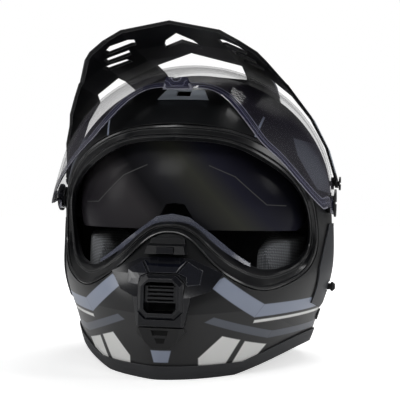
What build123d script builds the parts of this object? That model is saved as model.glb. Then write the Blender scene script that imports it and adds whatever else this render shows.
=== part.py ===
"""Dual sport helmet: moulded shell with a long chin bar, foam liners, pads, a peak on two side arms,
a clear face shield that is swung up, a tinted sun visor behind it, chin vent, latch and chin strap.

Sizes are millimetres. Places are given from the shield's axle: x to the wearer's left, forward to
the face and up. The part's own frame has +X to the wearer's left, -Y forward and +Z up, with its
origin on the floor under the middle of the helmet.
"""

from build123d import *
from math import acos, cos, copysign, degrees, hypot, pi, radians, sin, sqrt, tan
import os

os.makedirs("parts", exist_ok=True)

# Where the shield's axle lies in the part's frame.
axle_height = 149.0

# Shell form, measured outside the moulding.
shell_half_width = 130.0
shell_wall = 3.2
crown_height = 121.0
crown_half_width = 128.0
crown_setback = 25.0
brow_reach = 155.0
chin_reach = 182.0
nape_reach = 140.0
skirt_depth = 150.0
rim_rise = 17.0
rim_half_length = 108.0
rim_setback = 3.0
rim_floor = 146.2

# Eyeport, as the shell's hole and the seal's inner lip in the front view.
eyeport_half_width = 119.5
eyeport_rise = 66.0
eyeport_drop = 76.5
lip_half_width = 109.5
lip_rise = 51.0
lip_drop = 59.5
seal_back = 9.0
lip_shrink = 0.985

# Foam, pads and lining.
liner_half_width = 90.0
liner_front = 103.0
liner_rear = 112.0
liner_top = 84.0
comfort_thickness = 8.0
liner_drop = 18.0
chin_foam = 20.0

# Face shield, described closed, then swung up by the travel to where it rests.
shield_half_width = 131.7
shield_reach = 139.4
shield_thickness = 2.0
shield_travel = 55.0
shield_pin_radius = 7.0
shield_boss_radius = 17.0

# Sun visor, a skin of revolution about its own pivots on the shield's axle line.
visor_half_width = 110.0
visor_radius = 104.0
visor_thickness = 2.0
visor_travel = 44.0
visor_pin_radius = 4.0
lever_travel = 18.0

# Peak: a faceted vault that stands over the raised shield.
peak_half_width = 135.5
peak_height = 148.0
peak_skin = 2.6
peak_reach = 150.0

# Chin vent group.
vent_reach = 164.4
vent_ring_top = -62.0
vent_ring_bottom = -98.0
shutter_travel = 5.0

# Straps and buckle.
strap_width = 24.0
strap_thickness = 2.0

# Fits.
gap = 0.3
running = 0.06
overrun = 30.0

# The axle's place along forward puts the origin under the middle of the overall length.
axle_ahead = (nape_reach + crown_setback - vent_reach) / 2
seal_fit = 0.6
slot_room = 3.0
foam_rear_drop = 88.0
foam_window_grow = 1.05

# Shell levels: share of the skirt depth, then of half width, chin reach and nape reach, and the
# exponent that turns the front from an oval (2) towards a pointed nose.
shell_level_shares = [
    (-1.2, 0.640, 0.860, 0.660, 1.60),
    (-1.0, 0.754, 0.945, 0.720, 1.60),
    (-0.8333, 0.858, 0.9945, 0.771, 1.60),
    (-0.6667, 0.919, 1.0, 0.836, 1.65),
    (-0.5, 0.977, 0.981, 0.907, 1.75),
    (-0.3333, 1.0, 0.912, 0.964, 1.75),
    (-0.1667, 0.996, 0.824, 0.993, 1.90),
    (0.0, 0.9846, 0.8516, 1.0, 2.0),
]

# Shield levels, closed: share of the reach up or down, then of half width and of reach, exponent.
shield_level_shares = [
    (-0.60, 0.958, 0.976, 1.75),
    (-0.43, 0.977, 0.990, 1.80),
    (-0.27, 0.992, 1.0, 1.85),
    (-0.108, 0.9985, 0.994, 1.95),
    (0.0, 1.0, 0.976, 2.0),
    (0.18, 0.983, 0.928, 2.0),
    (0.36, 0.927, 0.852, 2.0),
    (0.54, 0.838, 0.745, 2.0),
    (0.68, 0.735, 0.636, 2.0),
]

# Seal lip depth: share of the skirt depth, then of lip half width and chin reach, exponent.
lip_level_shares = [
    (-0.60, 1.050, 0.879, 1.75),
    (-0.40, 1.068, 0.874, 1.75),
    (-0.267, 1.082, 0.857, 1.80),
    (-0.133, 1.100, 0.813, 1.90),
    (0.0, 1.128, 0.827, 2.0),
    (0.22, 1.085, 0.795, 2.0),
    (0.36, 1.008, 0.738, 2.0),
    (0.46, 0.932, 0.682, 2.0),
]

# Eyeport stations from the brow down to the nose: outer x and up, then inner x and up.
eyeport_shares = [
    (0.0, 1.0, 0.0, 1.0),
    (0.25, 0.977, 0.22, 0.985),
    (0.50, 0.886, 0.456, 0.90),
    (0.715, 0.697, 0.655, 0.70),
    (0.87, 0.424, 0.831, 0.44),
    (0.962, 0.076, 0.95, 0.12),
    (0.996, -0.235, 0.998, -0.20),
    (1.0, -0.523, 1.0, -0.59),
    (0.945, -0.784, 0.945, -0.83),
    (0.812, -0.941, 0.842, -0.96),
    (0.653, -1.0, 0.695, -1.0),
    (0.485, -0.902, 0.53, -0.875),
    (0.301, -0.68, 0.33, -0.615),
    (0.134, -0.431, 0.146, -0.361),
    (0.0, -0.373, 0.0, -0.319),
]

# Seal section: share of the way from the shell's hole to the inner lip, and height as a share of
# the seal's depth.
seal_section_shares = [
    (0.0, -0.05),
    (0.07, 0.16),
    (0.16, 0.16),
    (0.26, -0.04),
    (0.56, -0.10),
    (0.68, 0.26),
    (0.78, 0.26),
    (1.0, -0.18),
    (1.0, -1.0),
    (0.0, -0.70),
]

# Raised shield's lower edge in the front view, from the middle to the axle.
shield_edge_shares = [
    (0.0, 0.700),
    (0.10, 0.697),
    (0.20, 0.688),
    (0.292, 0.646),
    (0.405, 0.543),
    (0.50, 0.433),
    (0.573, 0.350),
    (0.674, 0.261),
    (0.763, 0.166),
    (0.848, 0.070),
    (0.94, -0.030),
    (1.03, -0.095),
]

# Peak height along its middle: forward as a share of the reach, and height as a share of the tip's.
peak_spine_shares = [(1.02, 1.0), (0.787, 0.976), (0.60, 0.953), (0.267, 0.932), (0.0, 0.932), (-0.30, 0.90), (-0.55, 0.82)]
peak_rib_degrees = [0, 18, 32, 44, 56, 68, 80, 90]

# Peak outline in the side view: the lower front edge from tip to arm end, then the arm's rear edge.
peak_edge_shares = [
    (1.0, 1.0),
    (0.96, 0.89),
    (0.84, 0.797),
    (0.597, 0.695),
    (0.484, 0.615),
    (0.226, 0.454),
    (-0.037, 0.223),
    (-0.12, 0.10),
]
arm_rear_shares = [(-0.30, 0.10), (-0.28, 0.216), (-0.133, 0.412), (0.013, 0.628), (0.187, 0.662)]


def spot(x, forward, up):
    """A place given from the shield's axle, in the part's frame."""
    return (x, -axle_ahead - forward, axle_height + up)


def oval_point(turn, half_width, front, rear, exponent):
    """A point on a level outline, as x and forward of the widest line."""
    across, along = sin(turn), cos(turn)
    if along < 0:
        return half_width * across, rear * along
    power = 2 / exponent
    return half_width * copysign(abs(across) ** power, across), front * along**power


def level_wire(up, half_width, front, rear, exponent, setback):
    """One closed horizontal outline of a form."""
    count = 24
    points = []
    for step in range(count):
        x, forward = oval_point(2 * pi * step / count, half_width, front, rear, exponent)
        points.append(spot(x, forward - setback, up))
    return Wire([Edge.make_spline(points, periodic=True)])


def dome_wires(half_width, front, rear, top, setback):
    """Level outlines of an oval dome above its widest line, and its crown point."""
    wires = []
    for climb in (15, 30, 45, 60, 72, 82):
        share = cos(radians(climb))
        wires.append(
            level_wire(top * sin(radians(climb)), half_width * share, front * share, rear * share, 2, setback)
        )
    return wires + [Vertex(*spot(0, -setback, top))]


def shell_form(inset=0.0):
    """The solid helmet form, drawn in from the outside by an inset. It runs on below the rim."""
    wires = []
    for rise, wide, ahead, behind, exponent in shell_level_shares:
        wires.append(
            level_wire(
                rise * skirt_depth,
                wide * shell_half_width - inset,
                ahead * chin_reach - inset,
                behind * nape_reach - inset,
                exponent,
                crown_setback,
            )
        )
    wires += dome_wires(
        crown_half_width - inset, brow_reach - inset, nape_reach - inset, crown_height - inset, crown_setback
    )
    return Solid.make_loft(wires)


def bowl_form(inset, floor):
    """The head space: an oval dome over straight walls."""
    sizes = (liner_half_width - inset, liner_front - inset, liner_rear - inset)
    wires = []
    for up in (-floor, -floor / 2, 0):
        wires.append(level_wire(up, *sizes, 2, crown_setback))
    wires += dome_wires(*sizes, liner_top - inset, crown_setback)
    return Solid.make_loft(wires)


def between(rows, value, column):
    """A column of a table of shares at a value of its first column, on straight runs."""
    for low, high in zip(rows, rows[1:]):
        if value <= high[0] or high is rows[-1]:
            part = (value - low[0]) / (high[0] - low[0])
            return low[column] + part * (high[column] - low[column])
    return rows[-1][column]


def surface_forward(rows, x, up, half_width, reach, depth, first, setback):
    """How far forward a level form lies at a place of the front view."""
    share = up / depth
    wide = between(rows, share, 1) * half_width
    ahead = between(rows, share, 2) * reach
    exponent = between(rows, share, first)
    inside = 1 - (abs(x) / wide) ** exponent
    return ahead * max(inside, 0) ** (1 / exponent) - setback


def shell_forward(x, up):
    """Forward reach of the shell's outside at a place of the front view."""
    if up < 0:
        return surface_forward(
            shell_level_shares, x, up, shell_half_width, chin_reach, skirt_depth, 4, crown_setback
        )
    inside = 1 - (x / crown_half_width) ** 2 - (up / crown_height) ** 2
    return brow_reach * sqrt(max(inside, 0)) - crown_setback


def lip_forward(x, up):
    """Forward reach of the seal's inner lip at a place of the front view."""
    return surface_forward(lip_level_shares, x, up, lip_half_width, chin_reach, skirt_depth, 3, crown_setback)


def polygon_face(points):
    """A flat face from corner points."""
    return Face(Wire.make_polygon([Vector(*point) for point in points], close=True))


def both_sides(half):
    """A half outline that starts and ends on the middle, with its mirror image."""
    return list(half) + [(-x, other) for x, other in reversed(half) if abs(x) > 0]


def front_prism(points, near, far, curved=False):
    """A solid with an outline in the front view, x and up, from near to far along forward."""
    places = [spot(x, near, up) for x, up in points]
    face = Face(Wire([Edge.make_spline(places, periodic=True)])) if curved else polygon_face(places)
    return Solid.extrude(face, Vector(0, near - far, 0))


def side_prism(points, low_x, high_x):
    """A solid with an outline in the side view, forward and up, from low_x to high_x."""
    face = polygon_face([spot(low_x, forward, up) for forward, up in points])
    return Solid.extrude(face, Vector(high_x - low_x, 0, 0))


def plan_prism(points, low_up, high_up):
    """A solid with an outline in the plan view, x and forward, from low_up to high_up."""
    face = polygon_face([spot(x, forward, low_up) for x, forward in points])
    return Solid.extrude(face, Vector(0, 0, high_up - low_up))


def both_sides_line(half):
    """An open line run from the right side over the middle to the left, from its left half."""
    return [(-x, up) for x, up in reversed(half[1:])] + list(half)


def cross_rod(x, forward, up, radius, length):
    """A rod along x from a place, with its length signed."""
    plane = Plane(origin=spot(x, forward, up), x_dir=(0, 1, 0), z_dir=(1, 0, 0))
    return Solid.make_cylinder(radius, abs(length), plane if length > 0 else plane.offset(length))


def twin(shape):
    """The mirror image on the wearer's other side."""
    return mirror(shape, Plane.YZ)


def solids_of(shape):
    """The solids of a result, largest first."""
    return sorted(shape.solids(), key=lambda solid: -solid.volume)


def keep(name, shape, pieces=1):
    """Writes one node, keeping its largest solids."""
    solids = solids_of(shape)[:pieces]
    export_step(solids[0] if pieces == 1 else Compound(children=solids), f"parts/{name}.step")


def rim_prism(lift):
    """Everything above the helmet's lower rim, moved up by a lift: level ends and a raised arch."""
    low = -rim_floor + lift
    tall = crown_height + skirt_depth
    reach = chin_reach + overrun
    width = shell_half_width + overrun
    ends = (rim_half_length - rim_setback, -rim_half_length - rim_setback)
    line = Polyline(
        spot(-width, ends[0], low),
        spot(-width, reach, low),
        spot(-width, reach, low + tall),
        spot(-width, -reach, low + tall),
        spot(-width, -reach, low),
        spot(-width, ends[1], low),
    )
    arch = ThreePointArc(
        spot(-width, ends[1], low), spot(-width, -rim_setback, low + rim_rise), spot(-width, ends[0], low)
    )
    return Solid.extrude(Face(Wire([*line.edges(), *arch.edges()])), Vector(2 * width, 0, 0))


# Shell.
reach_far = chin_reach + overrun
axle = Axis(spot(0, 0, 0), (1, 0, 0))
screw_forward = -29.5
screw_up = 19.0
screw_radius = 2.5
outer_form = shell_form()
inner_form = shell_form(shell_wall)
eyeport_outline = [
    (x * eyeport_half_width, up * (eyeport_rise if up > 0 else eyeport_drop)) for x, up, *_ in eyeport_shares
]
eyeport_hole = front_prism(both_sides(eyeport_outline), 0, reach_far, curved=True)
left_half = side_prism(
    [(reach_far, reach_far), (-reach_far, reach_far), (-reach_far, -reach_far), (reach_far, -reach_far)],
    0,
    reach_far,
)

vent_middle = (vent_ring_top + vent_ring_bottom) / 2
vent_hole_half_width = 12.0
vent_hole_half_height = 14.0
vent_outline = [
    (vent_hole_half_width, vent_middle - vent_hole_half_height),
    (vent_hole_half_width, vent_middle + vent_hole_half_height),
]
vent_hole = front_prism(both_sides(vent_outline), chin_reach / 2, reach_far)

brow_vent_half_width = 13.0
brow_vent_up = 92.0
brow_vent_height = 5.0
brow_slot = front_prism(
    both_sides([(brow_vent_half_width / 2, brow_vent_up), (brow_vent_half_width / 2, brow_vent_up + brow_vent_height)]),
    0,
    reach_far,
)

shell = (outer_form - inner_form) & rim_prism(0)
shell = shell - eyeport_hole - vent_hole - brow_slot
pivot_hole = shield_pin_radius + gap
for side in (1, -1):
    shell = shell - cross_rod(side * crown_half_width / 2, 0, 0, pivot_hole, side * crown_half_width)
    shell = shell - cross_rod(
        side * crown_half_width / 2, screw_forward, screw_up, screw_radius + gap, side * crown_half_width
    )
keep("outer_shell", shell)

# Edge trim: a channel pressed over the shell's lower rim.
trim_wall = 1.5
trim_height = 9.0
trim_floor = 2.8
trim_out = shell_form(-gap - trim_wall)
trim_in = shell_form(shell_wall + gap + trim_wall)
trim_band = (trim_out - trim_in) & rim_prism(-trim_floor)
trim_band = trim_band - rim_prism(trim_height)
trim_groove = (shell_form(-gap) - shell_form(shell_wall + gap)) & rim_prism(-gap)
keep("base_trim", trim_band - trim_groove)

# Eyeport seal: one ribbed section carried round the eyeport.
def seal_station(row):
    """The seal's section polygon at one station of the eyeport, on the wearer's left."""
    outer_x, outer_up, inner_x, inner_up = row
    x0 = outer_x * (eyeport_half_width - seal_fit)
    up0 = outer_up * ((eyeport_rise if outer_up > 0 else eyeport_drop) - seal_fit)
    x1 = inner_x * lip_half_width
    up1 = inner_up * (lip_rise if inner_up > 0 else lip_drop)
    near0 = shell_forward(x0, up0)
    near1 = lip_forward(x1, up1)
    points = []
    for part, rise in seal_section_shares:
        across = part * part * (3 - 2 * part) if rise > -0.5 else part
        forward = near0 + across * (near1 - near0) + rise * seal_back
        points.append(spot(x0 + part * (x1 - x0), forward, up0 + part * (up1 - up0)))
    return Wire.make_polygon([Vector(*point) for point in points], close=True)


def past_middle(row):
    """A station mirrored to the other side, so that the seal runs smoothly over the middle."""
    return (-row[0], row[1], -row[2], row[3])


seal_rows = [past_middle(eyeport_shares[1]), *eyeport_shares, past_middle(eyeport_shares[-2])]
seal_half = Solid.make_loft([seal_station(row) for row in seal_rows])
seal_half = seal_half & left_half
keep("eyeport_seal", seal_half + twin(seal_half))

# Breath deflector: a thin clear strip that stands on the seal's lower lip.
deflector_wall = 1.6
deflector_inset = 7.0
deflector_shares = [(0.0, -0.204), (0.128, -0.246), (0.31, -0.49), (0.493, -0.763), (0.603, -0.898), (0.603, -1.3), (0.0, -1.3)]
lip_line = [(x * lip_half_width, up * (lip_rise if up > 0 else lip_drop)) for *_, x, up in eyeport_shares]
lip_room = front_prism(both_sides([(x * lip_shrink, up * lip_shrink) for x, up in lip_line]), 0, reach_far, curved=True)
deflector_points = [(x * lip_half_width, up * lip_drop) for x, up in deflector_shares]
deflector = shell_form(deflector_inset) - shell_form(deflector_inset + deflector_wall)
deflector = deflector & front_prism(both_sides(deflector_points), chin_reach / 3, reach_far) & lip_room
keep("breath_deflector", deflector)

# Foam liner over the head, with the space that the sun visor swings up into.
foam_form = shell_form(shell_wall + gap)
head_bowl = bowl_form(0, skirt_depth)


def oval_bowl(half_width, radius, start=0, sweep=360):
    """A solid oval spun about the axle line, from an angle below the front upwards."""
    turn = radians(-start)
    plane = Plane(origin=spot(0, 0, 0), x_dir=(1, 0, 0), z_dir=(0, -sin(turn), -cos(turn)))
    arc = Edge.make_ellipse(half_width, radius, plane, 0, 180)
    base = Edge.make_line(arc @ 1, arc @ 0)
    return Solid.revolve(Face(Wire([arc, base])), sweep, Axis(spot(0, 0, 0), (-1, 0, 0)))


def swung(place, travel):
    """Where a place in the side view, forward and up, lies once it has turned up about the axle."""
    turn = radians(travel)
    return (place[0] * cos(turn) - place[1] * sin(turn), place[0] * sin(turn) + place[1] * cos(turn))


visor_outline_shares = [
    (-0.12, -0.07),
    (-0.12, 0.07),
    (-0.05, 0.12),
    (0.93, 0.83),
    (1.4, 1.1),
    (1.4, -0.26),
    (0.34, -0.26),
    (0.04, -0.12),
    (-0.06, -0.12),
]
visor_scale = 100.0
visor_outline = [(forward * visor_scale, up * visor_scale) for forward, up in visor_outline_shares]
arm_swung = swung(visor_outline[2], visor_travel)
brow_swung = swung(visor_outline[3], visor_travel)
slot_start = 70
slot_sweep = 230
slot_back = 16.0
foam_low = [
    (-reach_far, -foam_rear_drop),
    (-88.0, -foam_rear_drop),
    (-50.0, -72.0),
    (-46.0, -liner_drop),
    (26.0, -liner_drop),
    (26.0, 6.0),
    (reach_far, 6.0),
    (reach_far, -reach_far),
    (-reach_far, -reach_far),
]
visor_space = [
    (-slot_back, -liner_drop),
    (-slot_back, 0),
    (arm_swung[0] - slot_room, arm_swung[1]),
    (brow_swung[0] - slot_room, brow_swung[1]),
    (brow_swung[0], reach_far),
    (reach_far, reach_far),
    (reach_far, -liner_drop),
]
space_half_width = visor_half_width + slot_room
core_half_width = visor_half_width - visor_thickness - slot_room / 2
visor_slot = side_prism(visor_space, -space_half_width, space_half_width)
visor_slot = visor_slot - oval_bowl(
    core_half_width,
    visor_radius - visor_thickness - slot_room,
    slot_start,
    slot_sweep,
)
foam_window = [(x * foam_window_grow, up * foam_window_grow) for x, up in eyeport_outline]
foam = foam_form - side_prism(foam_low, -reach_far, reach_far)
foam = foam - front_prism(both_sides(foam_window), liner_drop, reach_far, curved=True)
foam = foam - visor_slot - head_bowl
keep("foam_liner", foam)

# Comfort lining: the washable cap inside the foam.
lining_low = [
    (-reach_far, -70.0),
    (-88.0, -70.0),
    (-56.0, -58.0),
    (-50.0, -10.0),
    (20.0, -10.0),
    (20.0, 12.0),
    (44.0, 52.0),
    (reach_far, 52.0),
    (reach_far, -reach_far),
    (-reach_far, -reach_far),
]
lining = bowl_form(gap, skirt_depth) - bowl_form(comfort_thickness, skirt_depth)
keep("comfort_lining", lining - side_prism(lining_low, -reach_far, reach_far))

# Chin bar foam.
chin_foam_back = 48.0
chin_foam_top = -80.0
chin_foam_low = -119.0
chin_block = side_prism(
    [
        (chin_foam_back, chin_foam_top),
        (reach_far, chin_foam_top),
        (reach_far, chin_foam_low),
        (chin_foam_back, chin_foam_low),
    ],
    -reach_far,
    reach_far,
)
chin_liner = (foam_form & chin_block) - shell_form(shell_wall + gap + chin_foam)
keep("chin_foam", chin_liner - vent_hole)

# Cheek pads: crowned cushions behind the eyeport's lower corners.
pad_inner = 66.0
pad_outer = 108.0
pad_corners = [(66.0, -38.0), (-34.0, -28.0), (-40.0, -100.0), (28.0, -112.0), (62.0, -100.0)]
pad_middle = (14.0, -70.0)
pad_radius = 14.0
pad_crown_shares = [(0.0, 0.80), (0.12, 0.94), (0.45, 1.0), (1.0, 0.96)]


def pad_wire(x, share):
    """The pad's rounded outline at one x, shrunk about its middle by a share."""
    corners = []
    for forward, up in pad_corners:
        ahead = pad_middle[0] + (forward - pad_middle[0]) * share
        high = pad_middle[1] + (up - pad_middle[1]) * share
        corners.append(spot(x, ahead, high))
    return Wire(FilletPolyline(*corners, radius=pad_radius * share, close=True).edges())


pad = Solid.make_loft(
    [pad_wire(pad_inner + depth * (pad_outer - pad_inner), share) for depth, share in pad_crown_shares]
)
pad = pad & shell_form(shell_wall + chin_foam + 2 * gap)
keep("cheek_pad_left", pad)
keep("cheek_pad_right", twin(pad))

# Neck roll: a padded roll round the back of the neck opening.
roll_half_width = 105.0
roll_rear = 102.0
roll_up = -106.0
roll_thick = 9.0
roll_tall = 15.0
roll_ends = 106
roll_end_shares = [0.55, 0.85, 1.0]


def roll_wire(turn, share):
    """The roll's oval section at an angle round the neck, measured from the front."""
    across, along = sin(turn), cos(turn)
    centre = spot(roll_half_width * across, roll_rear * along - crown_setback, roll_up)
    plane = Plane(origin=centre, x_dir=(across, -along, 0), z_dir=(along, across, 0))
    return Wire([Edge.make_ellipse(roll_thick * share, roll_tall * share, plane)])


roll_sizes = roll_end_shares + [1.0] * 5 + roll_end_shares[::-1]
roll_step = (360 - 2 * roll_ends) / (len(roll_sizes) - 1)
neck_roll = Solid.make_loft(
    [roll_wire(radians(roll_ends + roll_step * number), share) for number, share in enumerate(roll_sizes)]
)
keep("neck_roll", neck_roll & foam_form)

# Face shield: one clear moulding with side arms, described closed and swung up to its rest.
def shield_form(inset=0.0):
    """The closed shield's solid form."""
    wires = []
    for rise, wide, ahead, exponent in shield_level_shares:
        half_width, reach = wide * shield_half_width - inset, ahead * shield_reach - inset
        wires.append(level_wire(rise * shield_reach, half_width, reach, 2 * shield_reach, exponent, 0))
    return Solid.make_loft(wires)


shield_fan_shares = [
    (-0.122, -0.043),
    (-0.122, 0.043),
    (-0.035, 0.117),
    (1.22, 1.29),
    (1.5, 1.29),
    (1.5, -0.76),
    (0.43, -0.76),
    (0.057, -0.108),
    (-0.043, -0.122),
]
shield_tab_angle = 42.0
shield_tab_shares = [(0.095, 1.02), (0.066, 1.105)]
shield_tab_thick = 3.0
shield_fan = [(forward * shield_reach, up * shield_reach) for forward, up in shield_fan_shares]
shield = (shield_form() - shield_form(shield_thickness)) & side_prism(shield_fan, -reach_far, reach_far)
bore = shield_pin_radius + running
shield = shield - cross_rod(-reach_far, 0, 0, bore, 2 * reach_far)
shield = shield.rotate(axle, -shield_travel)
edge_line = [(x * shield_half_width, up * shield_reach) for x, up in shield_edge_shares]
edge_curve = Spline([spot(x, -reach_far, up) for x, up in both_sides_line(edge_line)])
end_x = edge_line[-1][0]
edge_frame = Polyline(
    edge_curve @ 1, spot(end_x, -reach_far, reach_far), spot(-end_x, -reach_far, reach_far), edge_curve @ 0
)
edge_face = Face(Wire([*edge_curve.edges(), *edge_frame.edges()]))
shield = shield & Solid.extrude(edge_face, Vector(0, -2 * reach_far, 0))


def radial_spot(x, radius, angle, lift=0):
    """A place at a radius and angle about the axle, moved square to the radius by a lift."""
    turn = radians(angle)
    return spot(x, radius * cos(turn) - lift * sin(turn), radius * sin(turn) + lift * cos(turn))


tab_line = [(x * shield_reach, radius * shield_reach) for x, radius in shield_tab_shares]
tab_points = [radial_spot(x, radius, shield_tab_angle) for x, radius in both_sides(tab_line)]
tab_travel = Vector(radial_spot(0, 0, shield_tab_angle, shield_tab_thick)) - Vector(spot(0, 0, 0))
shield = shield + Solid.extrude(polygon_face(tab_points), tab_travel)
keep("face_shield", shield)

# Shield pivots: a pin through the shell, a washer under the shield and a cap over it.
pin_start = 123.7
washer_start = 127.9
cap_start = 132.1
cap_end = 134.0
cap_radius = 13.0
washer_radius = 10.0
pivot = cross_rod(pin_start, 0, 0, shield_pin_radius, cap_end - pin_start)
pivot = pivot + cross_rod(washer_start, 0, 0, washer_radius, shield_half_width - shield_thickness - 2 * gap - washer_start)
cap = cross_rod(cap_start, 0, 0, cap_radius, cap_end - cap_start)
coin_slot = side_prism(
    [(-cap_radius, -1.0), (cap_radius, -1.0), (cap_radius, 1.0), (-cap_radius, 1.0)], cap_end - 1, cap_end + 1
)
pivot = pivot + cap - coin_slot
keep("shield_pivot_left", pivot)
keep("shield_pivot_right", twin(pivot))

# Sun visor: a tinted skin of revolution with a nose cut-out and two arms.
nose_outline = [(0.0, -3.0), (8.0, -4.0), (14.0, -14.0), (21.0, -30.0)]
visor = oval_bowl(visor_half_width, visor_radius)
visor = visor - oval_bowl(visor_half_width - visor_thickness, visor_radius - visor_thickness)
visor = visor & side_prism(visor_outline, -reach_far, reach_far)
visor = visor - front_prism(both_sides(nose_outline), 0, reach_far)
visor = visor - cross_rod(-reach_far, 0, 0, visor_pin_radius + running, 2 * reach_far)
keep("sun_visor", visor)
visor_disc_radius = 9.0
visor_pin_start = core_half_width + gap
visor_pivot = cross_rod(visor_pin_start, 0, 0, visor_pin_radius, visor_half_width + gap - visor_pin_start)
disc = cross_rod(visor_half_width + gap, 0, 0, visor_disc_radius, slot_room - 2 * gap)
visor_pivot = visor_pivot + disc
keep("visor_pivot_left", visor_pivot)
keep("visor_pivot_right", twin(visor_pivot))

# Side covers, with the slot that the sun visor's slider runs in.
cover_outline = [
    (-30.0, -19.5),
    (2.0, -19.5),
    (15.0, -40.0),
    (27.0, -60.0),
    (27.0, -92.0),
    (-8.0, -99.0),
    (-42.0, -92.0),
    (-50.0, -60.0),
    (-44.0, -30.0),
]
cover_skin = 1.3
slider_half_length = 6.0
slider_half_height = 4.5
slider_rest = -20.0
slider_up = -80.0
slot_low = slider_rest - lever_travel - slider_half_length - gap
slot_high = slider_rest + slider_half_length + gap
slider_slot = [
    (slot_low, slider_up - slider_half_height - gap),
    (slot_low, slider_up + slider_half_height + gap),
    (slot_high, slider_up + slider_half_height + gap),
    (slot_high, slider_up - slider_half_height - gap),
]
cover = (side_prism(cover_outline, 0, reach_far) & shell_form(-gap - cover_skin)) - shell_form(-gap)
left_cover = cover - side_prism(slider_slot, 0, reach_far)
keep("side_cover_left", left_cover)
keep("side_cover_right", twin(cover))
slider_base = 131.2
slider_top = 133.6
slider_points = [
    (slider_rest - slider_half_length, slider_up - slider_half_height),
    (slider_rest + slider_half_length, slider_up - slider_half_height),
    (slider_rest + slider_half_length, slider_up + slider_half_height),
    (slider_rest - slider_half_length, slider_up + slider_half_height),
]
slider = side_prism(slider_points, slider_base - 2, slider_top)
groove_half = 0.6
for step in (-1, 0, 1):
    middle = slider_rest + step * slider_half_length / 2
    groove = [
        (middle - groove_half, slider_up - slider_half_height),
        (middle + groove_half, slider_up - slider_half_height),
        (middle + groove_half, slider_up + slider_half_height),
        (middle - groove_half, slider_up + slider_half_height),
    ]
    slider = slider - side_prism(groove, slider_top - 1, slider_top + 1)
keep("visor_slider", slider)

# Peak: a faceted vault on two side arms, with louvred slots, a bar and two legs to the crown.
def peak_rise(forward):
    """Height of the peak's middle line at a place along forward."""
    rows = [(ahead * peak_reach, up * peak_height) for ahead, up in reversed(peak_spine_shares)]
    return between(rows, forward, 1)


def vault_wire(forward, skin):
    """The vault's faceted cross section at one place along forward."""
    half_width, tall = peak_half_width - skin, peak_rise(forward) - skin
    half = [(half_width * sin(radians(turn)), tall * cos(radians(turn))) for turn in peak_rib_degrees]
    low = -skin
    half.append((half_width, low))
    points = half + [(-x, up) for x, up in reversed(half[1:])]
    return Wire.make_polygon([Vector(*spot(x, forward, up)) for x, up in points], close=True)


def vault(skin):
    """The solid under the peak's faceted skin."""
    stations = [ahead * peak_reach for ahead, up in peak_spine_shares]
    return Solid.make_loft([vault_wire(forward, skin) for forward in stations], ruled=True)


peak_side = [(ahead * peak_reach, up * peak_height) for ahead, up in peak_edge_shares]
peak_back = -84.0
arm_rear = [(ahead * peak_reach, up * peak_height) for ahead, up in arm_rear_shares]
leg_outer = 72.0
leg_inner = 41.0
peak_shape = vault(0) - vault(peak_skin)
peak_keep = side_prism(
    [*peak_side, (arm_rear[0][0], peak_side[-1][1]), (peak_back, peak_side[-1][1]), (peak_back, reach_far), (reach_far, reach_far), (reach_far, peak_side[0][1])],
    -reach_far,
    reach_far,
)
peak_shape = peak_shape & peak_keep
arm_cut_points = [(-reach_far, -gap), *arm_rear, (arm_rear[-1][0] + 4, reach_far), (-reach_far, reach_far)]
arm_cut = side_prism(arm_cut_points, leg_outer, reach_far)
peak_slots_shares = [
    [(0.266, 0.807), (0.406, 0.867), (0.458, 0.813), (0.443, 0.74), (0.28, 0.693)],
    [(0.339, 0.653), (0.458, 0.693), (0.494, 0.687), (0.487, 0.607), (0.347, 0.553)],
    [(0.391, 0.507), (0.48, 0.56), (0.535, 0.573), (0.524, 0.46), (0.376, 0.40)],
]
peak_cut = arm_cut + twin(arm_cut)
for outline in peak_slots_shares:
    points = [(x * peak_half_width, ahead * peak_reach) for x, ahead in outline]
    slot = plan_prism(points, 0, reach_far)
    peak_cut = peak_cut + slot + twin(slot)
centre_slot_shares = [(0.0, 0.79), (0.088, 0.69), (0.118, 0.59), (0.125, 0.507), (0.0, 0.60)]
centre_points = [(x * peak_half_width, ahead * peak_reach) for x, ahead in centre_slot_shares]
window_shares = [(0.0, 0.28), (0.31, 0.013), (0.295, -0.40), (0.0, -0.44)]
window_points = [(x * peak_half_width, ahead * peak_reach) for x, ahead in window_shares]
peak_cut = peak_cut + plan_prism(both_sides(centre_points), 0, reach_far)
peak_cut = peak_cut + plan_prism(both_sides(window_points), 0, reach_far)
peak_shape = peak_shape - peak_cut
peak_shape = peak_shape - cross_rod(-reach_far, screw_forward, screw_up, screw_radius + running, 2 * reach_far)
keep("peak", peak_shape)

# Peak screws and standoffs at the temples.
standoff_start = 127.4
standoff_end = 130.2
standoff_radius = 6.0
screw_start = 124.2
head_start = 135.0
head_end = 136.8
head_radius = 6.5
standoff = cross_rod(standoff_start, screw_forward, screw_up, standoff_radius, standoff_end - standoff_start)
standoff = standoff - cross_rod(standoff_start, screw_forward, screw_up, screw_radius + running, standoff_end)
keep("peak_standoff_left", standoff)
keep("peak_standoff_right", twin(standoff))
screw = cross_rod(screw_start, screw_forward, screw_up, screw_radius, head_end - screw_start)
head = cross_rod(head_start, screw_forward, screw_up, head_radius, head_end - head_start)
drive = side_prism(
    [
        (screw_forward - head_radius, screw_up - 0.8),
        (screw_forward + head_radius, screw_up - 0.8),
        (screw_forward + head_radius, screw_up + 0.8),
        (screw_forward - head_radius, screw_up + 0.8),
    ],
    head_end - 1,
    head_end + 1,
)
screw = screw + head - drive
keep("peak_side_screw_left", screw)
keep("peak_side_screw_right", twin(screw))

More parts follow.
